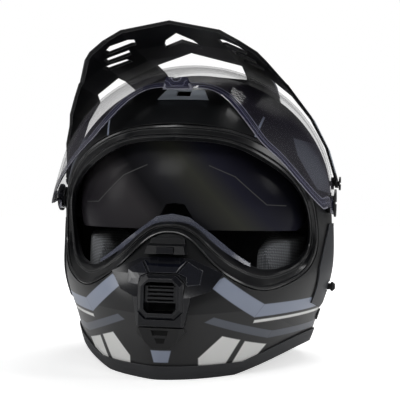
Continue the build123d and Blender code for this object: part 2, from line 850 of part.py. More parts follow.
# Seat on the crown that the peak's rear bridge rests on, and its slotted screw.
seat_front = -64.0
seat_rear = -81.0
seat_half_width = 26.0
seat = plan_prism(
    both_sides([(0.0, seat_front), (seat_half_width, seat_front), (seat_half_width, seat_rear), (0.0, seat_rear)]),
    crown_height / 2,
    reach_far,
)
seat = (seat & vault(peak_skin + gap)) - shell_form(-gap)
keep("peak_seat", seat)

# Chin vent group: a bevelled housing, an octagonal ring, a louvred shutter and a lower plate.
housing_level_shares = [
    (-0.293, 0.775, 0.092, 0.695),
    (-0.413, 0.846, 0.107, 0.731),
    (-0.533, 0.893, 0.138, 0.736),
    (-0.693, 0.896, 0.138, 0.720),
    (-0.84, 0.857, 0.077, 0.703),
]
housing_edge_share = 0.385
housing_outline_shares = [
    (0.0, -0.313),
    (0.169, -0.327),
    (0.369, -0.407),
    (0.292, -0.503),
    (0.185, -0.533),
    (0.150, -0.69),
    (0.0, -0.69),
]


def wedge():
    """The housing's bevelled block: level sections with a flat nose and two slanted faces."""
    wires = []
    for up, ahead, nose, edge in housing_level_shares:
        edge_x = housing_edge_share * shell_half_width
        half = [
            (0, ahead * chin_reach),
            (nose * shell_half_width, ahead * chin_reach),
            (edge_x, edge * chin_reach),
            (edge_x, chin_reach / 2),
        ]
        points = [spot(x, forward, up * skirt_depth) for x, forward in half + [(-x, f) for x, f in half[:0:-1]]]
        wires.append(Wire.make_polygon([Vector(*point) for point in points], close=True))
    return Solid.make_loft(wires, ruled=True)


def chin_points(shares):
    """Front-view points from shares of the shell's half width and skirt depth."""
    return both_sides([(x * shell_half_width, up * skirt_depth) for x, up in shares])


def octagon(half_width, top, bottom, corner):
    """The left half of an upright octagon in the front view."""
    return [
        (half_width - corner, top),
        (half_width, top - corner),
        (half_width, bottom + corner),
        (half_width - corner, bottom),
    ]


def front_wire(points, forward):
    """A closed outline of the front view at one place along forward."""
    return Wire.make_polygon([Vector(*spot(x, forward, up)) for x, up in points], close=True)


ring_half_width = 18.7
ring_corner = 6.5
ring_rim = 5.2
ring_back = 150.0
ring_face = vent_reach
wedge_block = wedge() - shell_form(-gap)
ring_outer = octagon(ring_half_width, vent_ring_top, vent_ring_bottom, ring_corner)
ring_inner = octagon(ring_half_width - ring_rim, vent_ring_top - ring_rim, vent_ring_bottom + ring_rim, ring_corner / 2)
ring_room = octagon(
    ring_half_width + gap, vent_ring_top + gap, vent_ring_bottom - gap, ring_corner
)
housing = wedge_block & front_prism(chin_points(housing_outline_shares), chin_reach / 2, reach_far)
housing = housing - front_prism(both_sides(ring_room), ring_back - gap, reach_far)
housing = housing - front_prism(both_sides(ring_inner), 0, reach_far)
keep("chin_vent_housing", housing)
ring_bevel = 2.6
ring_small = octagon(
    ring_half_width - ring_bevel, vent_ring_top - ring_bevel, vent_ring_bottom + ring_bevel, ring_corner
)
ring_stages = [(ring_outer, ring_back), (ring_outer, ring_face - ring_bevel), (ring_small, ring_face)]
ring = Solid.make_loft([front_wire(both_sides(half), forward) for half, forward in ring_stages], ruled=True)
ring = ring - front_prism(both_sides(ring_inner), 0, reach_far) - shell_form(-gap)
keep("chin_vent_ring", ring)
shutter_half_width = ring_half_width - ring_rim - gap
shutter_top = vent_ring_top - ring_rim - gap - ring_corner / 2
shutter_low = vent_ring_bottom + ring_rim + gap + shutter_travel + ring_corner / 2
shutter_back = 157.0
shutter_face = 160.5
shutter_ribs = 4
shutter = front_prism(both_sides([(shutter_half_width, shutter_top), (shutter_half_width, shutter_low)]), shutter_back, shutter_face)
pitch = (shutter_top - shutter_low) / shutter_ribs
slot_half_width = shutter_half_width - 2.4
for number in range(shutter_ribs):
    low = shutter_low + (number + 0.3) * pitch
    shutter = shutter - front_prism(
        both_sides([(slot_half_width, low), (slot_half_width, low + pitch * 0.5)]), shutter_back - 1, reach_far
    )
keep("chin_vent_shutter", shutter)

plate_outline_shares = [(0.0, -0.70), (0.146, -0.70), (0.158, -0.73), (0.058, -0.817), (0.0, -0.817)]
plate_slots_shares = [
    [(0.0, -0.712), (0.056, -0.712), (0.046, -0.742), (0.0, -0.742)],
    [(0.0, -0.756), (0.036, -0.756), (0.024, -0.787), (0.0, -0.787)],
]
plate_depth = 4.0
lower = wedge_block & front_prism(chin_points(plate_outline_shares), chin_reach / 2, reach_far)
for outline in plate_slots_shares:
    lower = lower - front_prism(chin_points(outline), chin_reach * 0.896 - plate_depth, reach_far)
keep("chin_lower_vent", lower)

# Latch under the eyeport: a receiver for the shield's tab and a spring button.
latch_outline_shares = [(0.0, -0.216), (0.106, -0.216), (0.131, -0.303), (0.0, -0.303)]
latch_side = [(120.0, -30.4), (134.8, -30.4), (136.0, -37.0), (145.0, -38.6), (148.0, -45.5), (120.0, -45.5)]
button_half_width = 7.0
button_top = -39.8
button_low = -45.0
button_back = 143.4
button_face = 149.2
button_travel = 2.0
latch = side_prism(latch_side, -reach_far, reach_far) & front_prism(
    chin_points(latch_outline_shares), chin_reach / 2, reach_far
)
latch = latch - shell_form(-gap)
button_room = front_prism(
    both_sides([(button_half_width + gap, button_top + gap), (button_half_width + gap, button_low - gap - 1)]),
    button_back - button_travel - gap,
    reach_far,
)
latch = latch - button_room
keep("latch_receiver", latch)
button = front_prism(
    both_sides([(button_half_width, button_top), (button_half_width, button_low)]), button_back, button_face
)
keep("latch_button", button)

# Brow vent cover and rear exhaust covers.
cover_rise = 2.6
brow_cover_shares = [(0.0, 0.66), (0.13, 0.66), (0.175, 0.592), (0.0, 0.592)]
brow_cover = shell_form(-gap - cover_rise) & front_prism(chin_points(brow_cover_shares), 0, reach_far)
brow_cover = brow_cover - shell_form(-gap) - brow_slot
keep("brow_vent", brow_cover)
exhaust_shares = [(0.20, 0.50), (0.47, 0.40), (0.52, 0.22), (0.27, 0.28)]
exhaust_rise = 5.0
exhaust_points = [(x * shell_half_width, up * skirt_depth) for x, up in exhaust_shares]
exhaust = shell_form(-gap - exhaust_rise) & front_prism(exhaust_points, -crown_setback, -reach_far)
exhaust = exhaust - shell_form(-gap)
exhaust_slots_shares = [
    [(0.265, 0.425), (0.45, 0.365), (0.455, 0.345), (0.27, 0.40)],
    [(0.28, 0.355), (0.475, 0.295), (0.48, 0.275), (0.29, 0.33)],
]
for outline in exhaust_slots_shares:
    points = [(x * shell_half_width, up * skirt_depth) for x, up in outline]
    exhaust = exhaust - front_prism(points, -crown_setback, -reach_far)
keep("rear_exhaust_left", exhaust)
keep("rear_exhaust_right", twin(exhaust))

# Chin strap: two webbing runs from the rivets to the buckle under the chin.
strap_forward = -10.0
left_run = [
    (114.4, -98.0),
    (110.6, -110.0),
    (104.6, -119.5),
    (96.0, -127.0),
    (80.0, -132.4),
    (56.2, -134.6),
]
right_extra = [(20.0, -135.0), (-18.6, -135.0)]


def strap(run):
    """Webbing that follows a run of x and up places."""
    line = Spline([spot(x, strap_forward, up) for x, up in run])
    count = 14
    upper, lower = [], []
    for step in range(count + 1):
        place, travel = line @ (step / count), line % (step / count)
        side = Vector(-travel.Z, 0, travel.X) * (strap_thickness / 2)
        upper.append(place + side)
        lower.append(place - side)
    top_edge, low_edge = Edge.make_spline(upper), Edge.make_spline(lower[::-1])
    ends = [Edge.make_line(upper[-1], lower[-1]), Edge.make_line(lower[0], upper[0])]
    face = Face(Wire([top_edge, ends[0], low_edge, ends[1]]))
    return Solid.extrude(face, Vector(0, strap_width, 0))


keep("chin_strap_left", strap(left_run))
keep("chin_strap_right", twin(strap(left_run + right_extra)))

# Buckle: a channel body open to below, a sprung lever between its walls and a toothed tongue.
buckle_near = 19.0
buckle_far = 50.0
buckle_top = -130.6
buckle_low = -138.4
buckle_plate = 1.4
buckle_wall = 2.5
buckle_centre = strap_forward - strap_width / 2
lever_half = strap_width / 2
wall_half = lever_half + gap + buckle_wall
hinge_x = 46.0
hinge_up = -136.0
hinge_radius = 1.5
knuckle_radius = 2.0
lever_plate = 1.8
tongue_half = 7.0
tongue_plate = 1.2
tongue_near = 24.0
tongue_head_far = 55.8
tooth_count = 6
tooth_pitch = 2.4
tooth_height = 0.6


def buckle_box(low_x, high_x, half_depth, low_up, high_up):
    """A block of the buckle, centred on the strap."""
    points = [
        (buckle_centre - half_depth, low_up),
        (buckle_centre + half_depth, low_up),
        (buckle_centre + half_depth, high_up),
        (buckle_centre - half_depth, high_up),
    ]
    return side_prism(points, low_x, high_x)


def buckle_rod(radius, half_depth):
    """A rod along the strap's width at the lever's hinge."""
    plane = Plane(origin=spot(hinge_x, buckle_centre + half_depth, hinge_up), x_dir=(1, 0, 0), z_dir=(0, 1, 0))
    return Solid.make_cylinder(radius, 2 * half_depth, plane)


ceiling = buckle_top - buckle_plate
body = buckle_box(buckle_near, buckle_far, wall_half, buckle_low, buckle_top)
body = body - buckle_box(buckle_near + buckle_wall, reach_far, lever_half + gap, -reach_far, ceiling)
body = body - buckle_rod(hinge_radius + running, reach_far)
keep("buckle_body", body)
lever = buckle_box(
    buckle_near + buckle_wall + gap, hinge_x, lever_half, hinge_up - lever_plate / 2, hinge_up + lever_plate / 2
)
lever = lever + buckle_rod(hinge_radius, wall_half) + buckle_rod(knuckle_radius, lever_half)
keep("buckle_lever", lever)
tongue_top = ceiling - gap
tongue_low = tongue_top - tongue_plate
tongue = buckle_box(tongue_near, buckle_far + buckle_wall, tongue_half, tongue_low, tongue_top)
tongue = tongue + buckle_box(
    buckle_far + gap, tongue_head_far, lever_half, tongue_low - buckle_wall / 2, tongue_top
)
for number in range(tooth_count):
    near = tongue_near + (number + 0.5) * tooth_pitch
    tongue = tongue + buckle_box(near, near + tooth_pitch / 2, tongue_half, tongue_low - tooth_height, tongue_top)
keep("buckle_tongue", tongue)

# Strap rivets: flush heads outside and a shank through the wall.
rivet_up = -107.0
rivet_radius = 5.5
rivet_shank = 2.4
rivet_forward = strap_forward - strap_width / 2
rivet_core = cross_rod(shell_half_width / 2, rivet_forward, rivet_up, rivet_radius, shell_half_width)
rivet_head = (shell_form(-gap - 1.2) & rivet_core) - shell_form(-gap)
keep("strap_rivet_left", rivet_head)
keep("strap_rivet_right", twin(rivet_head))
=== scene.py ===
import math

import bmesh
import bpy
from mathutils import Matrix, Vector
from mathutils.bvhtree import BVHTree
from mathutils.geometry import delaunay_2d_cdt
from mathutils.kdtree import KDTree


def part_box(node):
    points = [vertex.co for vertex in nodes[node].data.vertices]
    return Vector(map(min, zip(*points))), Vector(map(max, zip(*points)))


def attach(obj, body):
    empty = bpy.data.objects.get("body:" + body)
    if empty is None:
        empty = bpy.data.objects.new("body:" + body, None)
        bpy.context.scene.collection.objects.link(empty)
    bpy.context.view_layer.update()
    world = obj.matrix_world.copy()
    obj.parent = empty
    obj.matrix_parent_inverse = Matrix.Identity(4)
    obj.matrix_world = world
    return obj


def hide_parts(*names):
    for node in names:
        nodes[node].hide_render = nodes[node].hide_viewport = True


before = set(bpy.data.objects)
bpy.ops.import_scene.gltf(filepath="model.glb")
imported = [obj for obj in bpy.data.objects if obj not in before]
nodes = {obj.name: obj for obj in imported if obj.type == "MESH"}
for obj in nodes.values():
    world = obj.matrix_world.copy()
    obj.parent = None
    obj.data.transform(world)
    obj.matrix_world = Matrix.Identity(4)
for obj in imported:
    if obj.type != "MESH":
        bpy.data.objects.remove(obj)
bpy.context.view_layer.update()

# Viewpoint. The axle of the face shield is the middle of the picture, and the helmet is seen
# almost from the front, from its left a little, with the slight lean that it has there.
axle_place = Vector((0.0, -0.0003, 0.149))
view_turn = math.radians(9.5)
view_lean = math.radians(1.27)
view_distance = 1.035
view_aside = 0.00394
back = Vector((math.sin(view_turn), -math.cos(view_turn), 0))
across = Vector((math.cos(view_turn), math.sin(view_turn), 0))
upright = Vector((0, 0, 1))
view_across = across * math.cos(view_lean) + upright * math.sin(view_lean)
view_up = upright * math.cos(view_lean) - across * math.sin(view_lean)
camera_data = bpy.data.cameras.new("viewpoint")
film_width = 36
lens_length = 96.88
camera_data.sensor_width = film_width
camera_data.lens = lens_length
camera = bpy.data.objects.new("viewpoint", camera_data)
bpy.context.scene.collection.objects.link(camera)
camera_place = axle_place + back * view_distance + view_across * view_aside
camera_turn = Matrix((view_across, view_up, back)).transposed().to_4x4()
camera.matrix_world = Matrix.Translation(camera_place) @ camera_turn
bpy.context.scene.camera = camera
bpy.context.scene.view_settings.view_transform = "Standard"


# Outer shell. One moulding of ABS, sprayed satin black, with broad grey stripes masked and sprayed
# over it before a matt lacquer. It is the CAD node itself, and the paint lies on the part's frame.
def add_group(name, inputs, outputs):
    """An empty shader group with its named inputs and outputs."""
    group = bpy.data.node_groups.new(name, "ShaderNodeTree")
    for label, kind, value in inputs:
        socket = group.interface.new_socket(label, in_out="INPUT", socket_type=kind)
        if value is not None:
            socket.default_value = value
    for label, kind in outputs:
        group.interface.new_socket(label, in_out="OUTPUT", socket_type=kind)
    return group, group.nodes.new("NodeGroupInput"), group.nodes.new("NodeGroupOutput")


def calculate(tree, operation, first, second=None, third=None):
    """A sum in a node tree, from numbers or from other nodes' results."""
    node = tree.nodes.new("ShaderNodeMath")
    node.operation = operation
    for place, value in enumerate((first, second, third)):
        if value is None:
            continue
        if isinstance(value, (int, float)):
            node.inputs[place].default_value = value
        else:
            tree.links.new(value, node.inputs[place])
    return node.outputs[0]


def mix_colour(tree, share, under, over):
    """One colour laid over another by a mask."""
    node = tree.nodes.new("ShaderNodeMix")
    node.data_type = "RGBA"
    for label, value in (("Factor", share), ("A", under), ("B", over)):
        socket = node.inputs[label]
        if isinstance(value, (int, float)):
            socket.default_value = value
        elif isinstance(value, tuple):
            socket.default_value = (*value, 1)
        else:
            tree.links.new(value, socket)
    return node.outputs["Result"]


# Fine grain of a moulded or sprayed surface: a bump height, and a slow change of tone.
grain_group, grain_in, grain_out = add_group(
    "surface grain",
    (("Place", "NodeSocketVector", None), ("Fineness", "NodeSocketFloat", 900.0)),
    (("Height", "NodeSocketFloat"), ("Tone", "NodeSocketFloat")),
)
drift_scale, drift_detail, grain_detail = 14, 2, 3
fine = grain_group.nodes.new("ShaderNodeTexNoise")
fine.inputs["Detail"].default_value = grain_detail
slow = grain_group.nodes.new("ShaderNodeTexNoise")
slow.inputs["Scale"].default_value = drift_scale
slow.inputs["Detail"].default_value = drift_detail
grain_group.links.new(grain_in.outputs["Place"], fine.inputs["Vector"])
grain_group.links.new(grain_in.outputs["Fineness"], fine.inputs["Scale"])
grain_group.links.new(grain_in.outputs["Place"], slow.inputs["Vector"])
grain_group.links.new(fine.outputs["Fac"], grain_out.inputs["Height"])
grain_group.links.new(slow.outputs["Fac"], grain_out.inputs["Tone"])

# Edges of a moulding: the normal of a softly rounded edge, and a mask that grows as it turns. The mask
# lightens the edge's colour, partly as rubbed wear and partly as a painted highlight where light catches
# it.
edge_wear_highlight_group, wear_highlight_in, wear_highlight_out = add_group(
    "rubbed edge",
    (("Radius", "NodeSocketFloat", 0.0006), ("Wear and highlight", "NodeSocketFloat", 0.5)),
    (("Normal", "NodeSocketVector"), ("Rubbed and highlit", "NodeSocketFloat")),
)
flat_turn, full_turn = 0.995, 0.93
rounded = edge_wear_highlight_group.nodes.new("ShaderNodeBevel")
rounded.samples = 4
turned = edge_wear_highlight_group.nodes.new("ShaderNodeVectorMath")
turned.operation = "DOT_PRODUCT"
own_normal = edge_wear_highlight_group.nodes.new("ShaderNodeNewGeometry").outputs["Normal"]
rubbed_and_highlit = edge_wear_highlight_group.nodes.new("ShaderNodeMapRange")
rubbed_and_highlit.inputs["From Min"].default_value = flat_turn
rubbed_and_highlit.inputs["From Max"].default_value = full_turn
for source, target in (
    (wear_highlight_in.outputs["Radius"], rounded.inputs["Radius"]),
    (rounded.outputs["Normal"], turned.inputs[0]),
    (own_normal, turned.inputs[1]),
    (turned.outputs["Value"], rubbed_and_highlit.inputs["Value"]),
    (wear_highlight_in.outputs["Wear and highlight"], rubbed_and_highlit.inputs["To Max"]),
    (rounded.outputs["Normal"], wear_highlight_out.inputs["Normal"]),
    (rubbed_and_highlit.outputs["Result"], wear_highlight_out.inputs["Rubbed and highlit"]),
):
    edge_wear_highlight_group.links.new(source, target)


def finish_material(
    name,
    colour,
    roughness,
    coat=0.0,
    coat_roughness=0.1,
    grain=0.0002,
    fineness=900.0,
    tone=0.25,
    edge=0.0006,
    wear_and_highlight=0.5,
):
    """A moulded or painted finish: colour drifts, edges round and painted lighter as wear and highlight,
    grain fine.
    """
    material = bpy.data.materials.new(name)
    material.use_nodes = True
    tree = material.node_tree
    shader = tree.nodes["Principled BSDF"]
    place = tree.nodes.new("ShaderNodeTexCoord").outputs["Object"]
    surface = tree.nodes.new("ShaderNodeGroup")
    surface.node_tree = grain_group
    surface.inputs["Fineness"].default_value = fineness
    tree.links.new(place, surface.inputs["Place"])
    darker = tuple(value * (1 - tone) for value in colour)
    lighter = tuple(min(1, value * (1 + tone)) for value in colour)
    drift, gloss, grain_share = 0.12, 0.26, 0.35
    spread = calculate(tree, "MULTIPLY_ADD", surface.outputs["Tone"], drift, roughness - drift / 2)
    tree.links.new(spread, shader.inputs["Roughness"])
    shader.inputs["Specular IOR Level"].default_value = gloss
    shader.inputs["Coat Weight"].default_value = coat
    shader.inputs["Coat Roughness"].default_value = coat_roughness
    bump = tree.nodes.new("ShaderNodeBump")
    bump.inputs["Strength"].default_value = grain_share
    bump.inputs["Distance"].default_value = grain
    tree.links.new(surface.outputs["Height"], bump.inputs["Height"])
    edges = tree.nodes.new("ShaderNodeGroup")
    edges.node_tree = edge_wear_highlight_group
    edges.inputs["Radius"].default_value = edge
    edges.inputs["Wear and highlight"].default_value = wear_and_highlight
    tree.links.new(edges.outputs["Normal"], bump.inputs["Normal"])
    tree.links.new(bump.outputs["Normal"], shader.inputs["Normal"])
    # The edge mask paints the edges lighter: partly rubbed wear, partly a painted highlight where light
    # catches them.
    rub_highlight_gain, rub_highlight_lift = 2, 0.10
    polished_and_highlit = tuple(min(1, value * rub_highlight_gain + rub_highlight_lift) for value in colour)
    body_colour = mix_colour(tree, surface.outputs["Tone"], darker, lighter)
    edge_colour = mix_colour(tree, edges.outputs["Rubbed and highlit"], body_colour, polished_and_highlit)
    tree.links.new(edge_colour, shader.inputs["Base Color"])
    return material, tree, shader, place


def dress(node_name, material):
    """Gives a CAD node its finish."""
    mesh = nodes[node_name].data
    mesh.materials.clear()
    mesh.materials.append(material)


# A painted edge: how far a place is inside a straight masked edge, in metres, mirrored left to right.
edge_group, edge_in, edge_out = add_group(
    "masked edge",
    (
        ("Side", "NodeSocketFloat", None),
        ("Height", "NodeSocketFloat", None),
        ("Across", "NodeSocketFloat", 0.0),
        ("Along", "NodeSocketFloat", 0.0),
        ("Offset", "NodeSocketFloat", 0.0),
    ),
    (("Inside", "NodeSocketFloat"),),
)
first_part = calculate(edge_group, "MULTIPLY", edge_in.outputs["Side"], edge_in.outputs["Across"])
second_part = calculate(
    edge_group, "MULTIPLY_ADD", edge_in.outputs["Height"], edge_in.outputs["Along"], first_part
)
inside_edge = calculate(edge_group, "SUBTRACT", second_part, edge_in.outputs["Offset"])
edge_group.links.new(inside_edge, edge_out.inputs["Inside"])


def masked_patch(tree, side, height, corners, softness=0.0004):
    """A mask of one inside a patch, its corners the side and height from the axle in millimetres."""
    middle_x = sum(corner[0] for corner in corners) / len(corners)
    middle_z = sum(corner[1] for corner in corners) / len(corners)
    inside = None
    for (x0, z0), (x1, z1) in zip(corners, corners[1:] + corners[:1]):
        turn_x, turn_z = z1 - z0, x0 - x1
        length = math.hypot(turn_x, turn_z)
        turn_x, turn_z = turn_x / length, turn_z / length
        if (middle_x - x0) * turn_x + (middle_z - z0) * turn_z < 0:
            turn_x, turn_z = -turn_x, -turn_z
        edge = tree.nodes.new("ShaderNodeGroup")
        edge.node_tree = edge_group
        tree.links.new(side, edge.inputs["Side"])
        tree.links.new(height, edge.inputs["Height"])
        edge.inputs["Across"].default_value = turn_x
        edge.inputs["Along"].default_value = turn_z
        offset = (x0 * turn_x + z0 * turn_z) / 1000 + axle_place.z * turn_z
        edge.inputs["Offset"].default_value = offset
        value = edge.outputs["Inside"]
        inside = value if inside is None else calculate(tree, "MINIMUM", inside, value)
    spread = tree.nodes.new("ShaderNodeMapRange")
    spread.inputs["From Min"].default_value = -softness
    spread.inputs["From Max"].default_value = softness
    tree.links.new(inside, spread.inputs["Value"])
    return spread.outputs["Result"]


shell_black = (0.008, 0.0085, 0.0095)
charcoal = (0.027, 0.027, 0.028)
slate = (0.12, 0.132, 0.16)
mid_grey = (0.32, 0.36, 0.46)
light_grey = (0.94, 0.94, 0.92)
paint_reach = 0.03
shell_paint, tree, shader, place = finish_material(
    "satin black paint", shell_black, 0.42, coat=0.3, coat_roughness=0.14
)
split = tree.nodes.new("ShaderNodeSeparateXYZ")
tree.links.new(place, split.inputs[0])
side = calculate(tree, "ABSOLUTE", split.outputs["X"])
height = split.outputs["Z"]
front_half = calculate(tree, "LESS_THAN", split.outputs["Y"], paint_reach)
painted = shader.inputs["Base Color"].links[0].from_socket
stripes = [
    (charcoal, [(0, -48), (50, -66), (78, -92), (140, -89), (140, -160), (0, -160)]),
    (slate, [(96, 58), (101, 42), (118, 12), (140, 6), (140, 50)]),
    (mid_grey, [(36, -70), (48, -64), (79, -88), (71, -99)]),
    (mid_grey, [(79, -88), (71, -99), (140, -96), (140, -86)]),
    (light_grey, [(71, -101.5), (70, -104), (140, -101), (140, -98.5)]),
    (slate, [(34, -101), (41, -97), (84, -113), (80, -119)]),
    (slate, [(84, -113), (80, -119), (140, -117), (140, -111)]),
    (light_grey, [(29, -131), (47, -113.5), (60, -118), (44, -146), (29, -146)]),
    (light_grey, [(63.5, -119.5), (79, -124.5), (62, -146), (49, -146)]),
    (mid_grey, [(8.3, -124), (5.8, -134), (-5.8, -134), (-8.3, -124)]),
    (mid_grey, [(70, 76), (71.5, 75), (65, 47), (63, 47)]),
]
for colour, corners in stripes:
    mask = calculate(tree, "MULTIPLY", masked_patch(tree, side, height, corners), front_half)
    painted = mix_colour(tree, mask, painted, colour)
tree.links.new(painted, shader.inputs["Base Color"])
dress("outer_shell", shell_paint)

# Edge trim. A soft extruded rubber channel, dark grey and dull. It is pushed over the lower rim of the
# shell, and the helmet stands on its front and rear ends.
trim_finish = finish_material(
    "edge trim rubber", (0.045, 0.046, 0.05), 0.55, grain=0.0003, fineness=600
)[0]
dress("base_trim", trim_finish)

# Eyeport seal. A moulded black rubber frame with two raised lips, wiped with silicone, so its lips
# shine a little more than the shell. The light lines along its lips are painted highlights from a strong
# edge mask.
seal_finish = finish_material(
    "seal rubber",
    (0.007, 0.0073, 0.0085),
    0.34,
    coat=0.5,
    coat_roughness=0.07,
    grain=0.0001,
    edge=0.0012,
    wear_and_highlight=0.8,
)[0]
dress("eyeport_seal", seal_finish)


# Breath deflector. A thin strip of smoked clear plastic, bent to the seal's curve. It stands on the
# seal's lower lip, and keeps breath off the shield.
def clear_material(name, colour, roughness, clearness, edge_share):
    """Clear plastic: see-through face on, and thicker to look at where it turns away."""
    material = bpy.data.materials.new(name)
    material.use_nodes = True
    tree = material.node_tree
    shader = tree.nodes["Principled BSDF"]
    shader.inputs["Base Color"].default_value = (*colour, 1)
    shader.inputs["Roughness"].default_value = roughness
    hard_coat, coat_roughness, edge_blend, edge_power = 0.3, 0.05, 0.35, 2
    shader.inputs["Coat Weight"].default_value = hard_coat
    shader.inputs["Coat Roughness"].default_value = coat_roughness
    facing = tree.nodes.new("ShaderNodeLayerWeight")
    facing.inputs["Blend"].default_value = edge_blend
    turned = calculate(tree, "POWER", facing.outputs["Facing"], edge_power)
    alpha = calculate(tree, "MULTIPLY_ADD", turned, edge_share, 1 - clearness)
    tree.links.new(alpha, shader.inputs["Alpha"])
    place = tree.nodes.new("ShaderNodeTexCoord").outputs["Object"]
    surface = tree.nodes.new("ShaderNodeGroup")
    surface.node_tree = grain_group
    wave_fineness, wave_share, wave_depth = 60, 0.15, 0.0004
    surface.inputs["Fineness"].default_value = wave_fineness
    tree.links.new(place, surface.inputs["Place"])
    bump = tree.nodes.new("ShaderNodeBump")
    bump.inputs["Strength"].default_value = wave_share
    bump.inputs["Distance"].default_value = wave_depth
    tree.links.new(surface.outputs["Height"], bump.inputs["Height"])
    tree.links.new(bump.outputs["Normal"], shader.inputs["Normal"])
    return material, tree, shader, alpha


deflector_finish = clear_material("smoked strip", (0.13, 0.14, 0.19), 0.06, 0.35, 0.3)[0]
dress("breath_deflector", deflector_finish)

# Foam liner and chin foam. Charcoal expanded foam moulded in steam, with its bead pattern showing. The
# two blocks are pushed into the shell.
bead_scale = 320
foam_finish, tree, shader, place = finish_material(
    "liner foam", (0.03, 0.03, 0.033), 0.85, grain=0.0006, fineness=260
)
beads = tree.nodes.new("ShaderNodeTexVoronoi")
beads.inputs["Scale"].default_value = bead_scale
tree.links.new(place, beads.inputs["Vector"])
bump = next(n for n in tree.nodes if n.type == "BUMP")
tree.links.new(beads.outputs["Distance"], bump.inputs["Height"])
for name in ("foam_liner", "chin_foam"):
    dress(name, foam_finish)


# Comfort lining, cheek pads and neck roll. Soft foam under knitted cloth: the cheek pads are grey
# mesh, the lining and the roll are plain black cloth. Each stands for the CAD solid it fills.
weld_distance = 0.00002


def soft_copy(node_name, name, voxel, draw_in, rounds):
    """A rounded closed form from a CAD solid, drawn in a little so that it stays clear."""
    mesh = nodes[node_name].data.copy()
    mesh.name = name
    made = bpy.data.objects.new(name, mesh)
    bpy.context.scene.collection.objects.link(made)
    work = bmesh.new()
    work.from_mesh(mesh)
    bmesh.ops.remove_doubles(work, verts=work.verts, dist=weld_distance)
    work.to_mesh(mesh)
    work.free()
    remesh = made.modifiers.new("even", "REMESH")
    remesh.mode = "VOXEL"
    remesh.voxel_size = voxel
    smooth = made.modifiers.new("soften", "SMOOTH")
    smooth.factor = 0.5
    smooth.iterations = rounds
    depsgraph = bpy.context.evaluated_depsgraph_get()
    result = bpy.data.meshes.new_from_object(made.evaluated_get(depsgraph))
    made.modifiers.clear()
    made.data = result
    result.name = name
    work = bmesh.new()
    work.from_mesh(result)
    work.normal_update()
    for vertex in work.verts:
        vertex.co -= vertex.normal * draw_in
    work.to_mesh(result)
    work.free()
    for polygon in result.polygons:
        polygon.use_smooth = True
    return made


# Knitted or woven rows: threads that cross, read from the part's frame on its three axes.
weave_group, weave_in, weave_out = add_group(
    "crossed threads",
    (("Place", "NodeSocketVector", None), ("Scale", "NodeSocketFloat", 230.0)),
    (("Thread", "NodeSocketFloat"),),
)
thread_wander, thread_detail = 0.6, 1
rows = []
for axis in ("X", "Y", "Z"):
    wave = weave_group.nodes.new("ShaderNodeTexWave")
    wave.wave_type = "BANDS"
    wave.bands_direction = axis
    wave.inputs["Distortion"].default_value = thread_wander
    wave.inputs["Detail"].default_value = thread_detail
    weave_group.links.new(weave_in.outputs["Scale"], wave.inputs["Scale"])
    weave_group.links.new(weave_in.outputs["Place"], wave.inputs["Vector"])
    rows.append(wave.outputs["Fac"])
side_rows = calculate(weave_group, "MULTIPLY", rows[0], rows[2])
depth_rows = calculate(weave_group, "MULTIPLY", rows[1], rows[2])
crossed = calculate(weave_group, "MAXIMUM", side_rows, depth_rows)
weave_group.links.new(crossed, weave_out.inputs["Thread"])


def cloth_material(name, colour, second, scale, sheen, depth):
    """Cloth of two colours of thread, rough, with a faint sheen."""
    material = bpy.data.materials.new(name)
    material.use_nodes = True
    tree = material.node_tree
    shader = tree.nodes["Principled BSDF"]
    place = tree.nodes.new("ShaderNodeTexCoord").outputs["Object"]
    weave = tree.nodes.new("ShaderNodeGroup")
    weave.node_tree = weave_group
    weave.inputs["Scale"].default_value = scale
    tree.links.new(place, weave.inputs["Place"])
    thread = weave.outputs["Thread"]
    tree.links.new(mix_colour(tree, thread, colour, second), shader.inputs["Base Color"])
    cloth_roughness, thread_relief = 0.9, 0.8
    shader.inputs["Roughness"].default_value = cloth_roughness
    shader.inputs["Sheen Weight"].default_value = sheen
    bump = tree.nodes.new("ShaderNodeBump")
    bump.inputs["Strength"].default_value = thread_relief
    bump.inputs["Distance"].default_value = depth
    tree.links.new(thread, bump.inputs["Height"])
    tree.links.new(bump.outputs["Normal"], shader.inputs["Normal"])
    return material


pad_cloth = cloth_material("grey mesh cloth", (0.018, 0.019, 0.021), (0.36, 0.38, 0.41), 230, 0.2, 0.0005)
lining_cloth = cloth_material(
    "black lining cloth", (0.02, 0.02, 0.022), (0.05, 0.05, 0.055), 200, 0.4, 0.0004
)
cloth_clearance, smoothing_rounds = 0.0002, 6
for node_name, name, cloth, slot, voxel in (
    ("cheek_pad_left", "cheek_cushion_left", pad_cloth, "pad_cloth", 0.003),
    ("cheek_pad_right", "cheek_cushion_right", pad_cloth, "pad_cloth", 0.003),
    ("comfort_lining", "head_lining", lining_cloth, "lining_cloth", 0.0035),
    ("neck_roll", "neck_cushion", lining_cloth, "roll_cloth", 0.003),
):
    cushion = soft_copy(node_name, name, voxel, cloth_clearance, smoothing_rounds)
    cushion.data.materials.clear()
    cushion.data.materials.append(cloth)
    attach(cushion, "shell")
    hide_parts(node_name)

